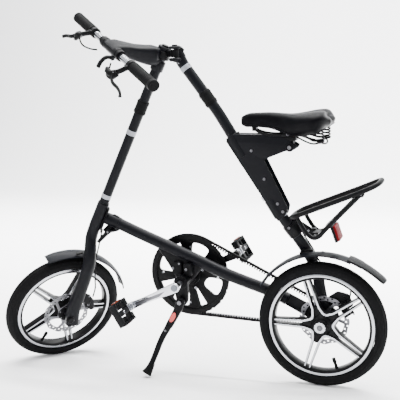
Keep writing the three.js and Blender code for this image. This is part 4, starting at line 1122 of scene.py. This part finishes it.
# ---------------------------------------------------------------- front assembly
def front_frame():
    tube = [rod(on_axis(540), on_axis(1056), 16, None, 44),
            rod(on_axis(562), on_axis(560), 18.4, None, 44)]
    leg_path = [on_axis(560), on_axis(520), on_axis(478), (-781, -9, 440), (-797, -36, 408),
                (-812, -55, 372),
                (-829, -61, 336), (-866, -62, 256), (-888, -62, 204), (-898, -62, 153)]
    leg = sweep(leg_path, lambda s: 19.6 + 2.6 * ease(s, 0.35, 0.6), 80, 44,
                lambda s: 19.6 - 3.2 * ease(s, 0.4, 0.7),
                lambda s: 2.0 + 1.6 * ease(s, 0.62, 0.9), chamfer=2.5)
    show("front_tube_main", tube, PAINT, "front_frame", TURNED, ["front_tube"])
    show("front_leg", [leg], PAINT, "front_frame", TURNED)
    sleeve = [rod(on_axis(893), on_axis(853), 19.2, None, 40, 1.5),
              rod(on_axis(889), on_axis(884), 19.9, None, 40, 0.6),
              rod(on_axis(862), on_axis(857), 19.9, None, 40, 0.6)]
    show("front_tube_sleeve", sleeve, RUBBER, "front_frame", TURNED)
    band(on_axis(793), AXIS_UP, 16.6, 16, "front_tube_band_top", "front_frame", TURNED)
    band(on_axis(583), AXIS_UP, 16.8, 14, "front_tube_band_low", "front_frame", TURNED)
    show("front_axle_shaft", [rod((-904.2, -79, 185.3), (-904.2, 33, 185.3), 7.9)], STEEL, "front_frame",
         TURNED,
         ["front_axle"])
    show("front_axle_cap", [disc(FRONT_HUB, -84, -76.5, 12, 2.4, 0, 40),
                            disc(FRONT_HUB, -79.4, -76.6, 15.4, 0.8, 0, 40)],
         BLACK, "front_frame", TURNED)
    caliper("front", (-831, 0, 203), math.atan2(17.7, 73.2), -1, "front_frame", TURNED)
    arm = rounded([(-850, 262), (-826, 250), (-806, 214), (-812, 176), (-826, 178), (-838, 214),
                   (-862, 236)], 6)
    show("front_caliper_mount", [slab(arm, -52.5, -48, (), 1.2)], BLACK, "front_frame", TURNED)
    hose = [(-808, -46, 226), (-798, -50, 262), (-796, -56, 310), (-786, -50, 372), (-764, -38, 430),
            (-744, -25, 476)]
    show("front_brake_hose", [sweep(hose, 2.6, 50, 12)], RUBBER, "front_frame", TURNED)


def swivel():
    """Ring on the steering tube with its short arm and hinge eye, and the bearing inside it."""
    low = on_axis(1024)
    length = (on_axis(1046) - low).length
    ring = revolve([(21.4, 0), (24.3, 0), (25.5, 1.2), (25.5, length - 1.2), (24.3, length),
                    (21.4, length)],
                   low, AXIS_UP, 64)
    arm = sweep([(-468, -6, 1036), (-454, -16, 1036.6), (-441, -24, 1037)], 10, 10, 32, 11.4, 3, ref=Z)
    show("swivel_ring", [ring, arm, disc(HINGE, -11.6, 11.6, 12.5, 1, 0, 40, Z)], ALLOY, "swivel", UP,
         ["apex_knuckle"])
    bearing = revolve([(16.4, 0.2), (21, 0.2), (21, length - 0.2), (16.4, length - 0.2)], low, AXIS_UP, 64)
    show("swivel_bearing", [bearing], STEEL, "swivel", UP, ["head_bearing"])


def stem():
    """Wedge from the steering tube forward to the bar sleeve, split by a slot for the swivel ring."""
    stations = ((-486, 1026, 1050, 14), (-496, 1018, 1058, 19), (-520, 1008, 1069, 24.5),
                (-545, 1014, 1074, 26),
                (-575, 1030, 1082, 27.5), (-605, 1048, 1094, 32), (-632, 1062, 1104, 40),
                (-650, 1069, 1104, 46),
                (-662, 1073, 1098, 46))
    rings = []
    for x, low, high, half in stations:
        middle, tall = (low + high) / 2, (high - low) / 2
        loop = []
        for j in range(40):
            a = 2 * math.pi * j / 40
            c, d = math.cos(a), math.sin(a)
            loop.append(Vector((x, math.copysign(abs(c) ** 0.55, c) * half,
                                middle + math.copysign(abs(d) ** 0.6, d) * tall)))
        rings.append(loop)
    wedge = show("stem_wedge", [stitch(rings, True)], PAINT, "front_frame", TURNED, ["stem"], sharp=60)
    carve(wedge, [rod(on_axis(1022.6), on_axis(1047.2), 27.4, None, 48, 0)], TURNED)
    upper = rod(on_axis(1047.4), on_axis(1058), 21, None, 48, 2)
    lower = revolve([(16.4, 0), (19.5, 0), (20.6, 2), (20.6, 30), (19.6, 32), (16.4, 32)], on_axis(987),
                    AXIS_UP, 56)
    show("stem_barrel", [upper, lower], PAINT, "front_frame", TURNED)
    show("stem_cap", [disc(on_axis(1058), 0, 5, 12, 2, 0, 40, AXIS_UP)], BLACK, "front_frame", TURNED)


def handlebar():
    sleeve = [rod(bar_at(-70), bar_at(70), 16, None, 44, 1.5),
              rod(bar_at(-54), bar_at(-44), 17, None, 44, 1),
              rod(bar_at(44), bar_at(54), 17, None, 44, 1)]
    show("bar_sleeve_tube", sleeve, BLACK, "front_frame", TURNED, ["bar_sleeve"])
    for word, side in (("left", -1), ("right", 1)):
        body = f"handlebar_{word}"
        raised = TURNED @ shift(bar_at(0)) @ Matrix.Rotation(RIGHT_LEVER_RAISE if side > 0 else 0, 4, "Y") \
            @ shift(-bar_at(0))

        def at(along, forward=0.0, down=0.0):
            return bar_at(side * along, forward, down)

        show(f"bar_{word}_tube", [rod(at(70.8), at(BAR_HALF - 6), 11, None, 40)], POLISH, body, TURNED,
             [f"bar_{word}"])
        hinge = [rod(at(72), at(81), 11.1, 12.4, 36, 1.2)]
        show(f"bar_{word}_hinge", hinge, BLACK, body, TURNED)
        grip = [(11.4, 0), (15.4, 0), (17, 1.6)]
        length = BAR_HALF - 160
        for k in range(22):
            h = 6 + k * 5.6
            grip += [(17, h), (16.2, h + 1.2), (16.2, h + 2.6), (17, h + 3.8)]
        grip += [(17, length - 6), (17.4, length - 3), (15, length - 0.5), (0, length)]
        grip = [(0, 6)] + [(11.4, 6)] + grip[:]
        show(f"grip_{word}_sleeve", [revolve([(0, 4), (11.6, 4)] + [(r, h) for r, h in grip[2:]], at(160),
                                             Y * side, 44)],
             RUBBER, body, TURNED, [f"grip_{word}"])
        hood = [at(147, 44, 14), at(140, 60, 24), at(128, 66, 22), at(116, 64, 8)]
        clamp = [rod(at(138), at(156), 16.4, None, 40, 1.5), brick(at(147, 15, 0), (12, 17, 12), 2.5),
                 sweep(hood, lambda s: 8 - 3 * s, 24, 24, 7, 2.6, ref=Z),
                 sweep([at(147, 14, 2), at(145, 34, 8), at(141, 50, 12)], 8, 16, 24, 6.5),
                 sweep([at(146, 48, 12), at(134, 62, 14), at(120, 64, 8), at(112, 62, 4)],
                       lambda s: 10.5 - 6 * s * s, 20, 24,
                       ref=Z),
                 disc(at(146, 56, 16), -9, 9, 6.4, 1, 0, 28, Z)]
        show(f"lever_{word}_clamp", clamp, BLACK, body, raised, [f"lever_bracket_{word}"])
        show(f"lever_{word}_screws", [bolt(at(146, 56, 7), Z, 4, 1.6), bolt(at(147, 17, 6.5), Z, 3, 1.8)],
             STEEL, body, raised)
        blade = [at(147, 57, 17), at(154, 66, 24), at(168, 68, 30), at(190, 64, 36), at(212, 66, 43),
                 at(221, 70, 49)]
        show(f"lever_{word}_blade", [sweep(blade, lambda s: 4.6 - 0.8 * s + 1.6 * ease(s, 0.88, 1), 44, 24,
                                           lambda s: 6.6 - 1.2 * s, 2.4, ref=Z)],
             BLACK, f"brake_lever_{word}", raised, [f"lever_blade_{word}"])
        cable = show(f"cable_{word}_housing",
                     [sweep([at(117, 62, 5.5), at(104, 64, 16), at(86, 58, 28), at(66, 40, 30),
                             at(46, 26, 24)], 2.6, 50, 12,
                            ref=Z)], RUBBER, "front_frame", raised)
        cable_ends.append((cable, word, at(50, 28, 24), at(112, 62, 8)))
    clamp = [rod(bar_at(-64, 25.4, 2), bar_at(-56, 25.4, 2), 7.8, None, 32),
             sweep([bar_at(-60, 28, 0), bar_at(-60, 44, -3), bar_at(-60, 60, 6), bar_at(-60, 72, 22)],
                   lambda s: 5.6 - 0.6 * s, 30, 24,
                   lambda s: 6 + 2.6 * s, 2.4)]
    show("stem_clamp_blade", clamp, BLACK, "stem_clamp", TURNED, ["clamp_lever"])


cable_ends = []


def bend_cables():
    """Takes each brake cable housing off its body, bakes its placement into the mesh and hides the model's
    cable.
    """
    for cable, word, start, end in cable_ends:
        world = cable.matrix_world.copy()
        cable.parent = None
        cable.matrix_world = world
        del cable["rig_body"]
        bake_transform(cable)
        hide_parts(f"cable_{word}")


# ---------------------------------------------------------------- studio
def studio():
    """Pale floor that curves up into a backdrop, four soft lights and the camera, in metres."""
    rings = []
    for y, z in [(-9, 0), (6, 0)] + [(6 + 4 * math.sin(a), 4 - 4 * math.cos(a)) for a in
                                     [math.pi / 2 * i / 16 for i in range(1, 17)]] + [(10, 16)]:
        rings.append([Vector((x, y, z)) for x in (-16, 16)])
    verts = [tuple(p) for loop in rings for p in loop]
    faces = [(2 * i, 2 * i + 1, 2 * i + 3, 2 * i + 2) for i in range(len(rings) - 1)]
    mesh = bpy.data.meshes.new("floor")
    mesh.from_pydata(verts, [], faces)
    for face in mesh.polygons:
        face.use_smooth = True
    pale = node_material("pale_floor", (0.97, 0.97, 0.975), 0.8, 0, 0, 0.02, 60, 0.05, 0.005)
    mesh.materials.append(pale)
    floor = bpy.data.objects.new("floor", mesh)
    bpy.context.scene.collection.objects.link(floor)

    world = bpy.data.worlds.new("studio")
    bpy.context.scene.world = world
    world.use_nodes = True
    back = world.node_tree.nodes["Background"]
    back.inputs["Color"].default_value = (0.97, 0.98, 1.0, 1)
    back.inputs["Strength"].default_value = 1.0

    def softbox(name, at, aim, size, power):
        data = bpy.data.lights.new(name, "AREA")
        data.shape = "RECTANGLE"
        data.size, data.size_y = size
        data.energy = power
        lamp = bpy.data.objects.new(name, data)
        lamp.location = at
        lamp.rotation_euler = (Vector(aim) - Vector(at)).to_track_quat("-Z", "Y").to_euler()
        bpy.context.scene.collection.objects.link(lamp)

    softbox("overhead", (0.3, 0.2, 4.4), (0.1, 0.5, 0), (4.6, 4.0), 640)
    softbox("left_front", (-3.2, -2.6, 2.4), (0, 0, 0.5), (1.2, 2.2), 60)
    softbox("right_rear", (3.2, 1.4, 2.0), (0.1, 0, 0.6), (1.2, 2.2), 16)
    softbox("backdrop", (0, 2.2, 4.4), (0, 6.5, 1.2), (7.0, 1.6), 2600)

    data = bpy.data.cameras.new("camera")
    data.lens = 71.9
    data.sensor_width = 36
    camera = bpy.data.objects.new("camera", data)
    camera.location = (0.882, -2.2875, 0.809)
    aim = Vector((0.0196, 0.1435, 0.5693)) - Vector(camera.location)
    camera.rotation_euler = aim.to_track_quat("-Z", "Y").to_euler()
    bpy.context.scene.collection.objects.link(camera)
    bpy.context.scene.camera = camera


wheel("rear", REAR_HUB, math.pi, 1, math.radians(-72), UP)
wheel("front", FRONT_HUB, math.radians(128), -1, math.radians(-128), TURNED)
guards()
rear_frame()
rack()
bottom_tube()
steering_cup()
seat_bracket()
saddle()
drive()
for word, side in (("left", -1), ("right", 1)):
    crank(word, side)
    pedal(word, side)
side_stand()
front_frame()
swivel()
stem()
handlebar()
bend_cables()
studio()
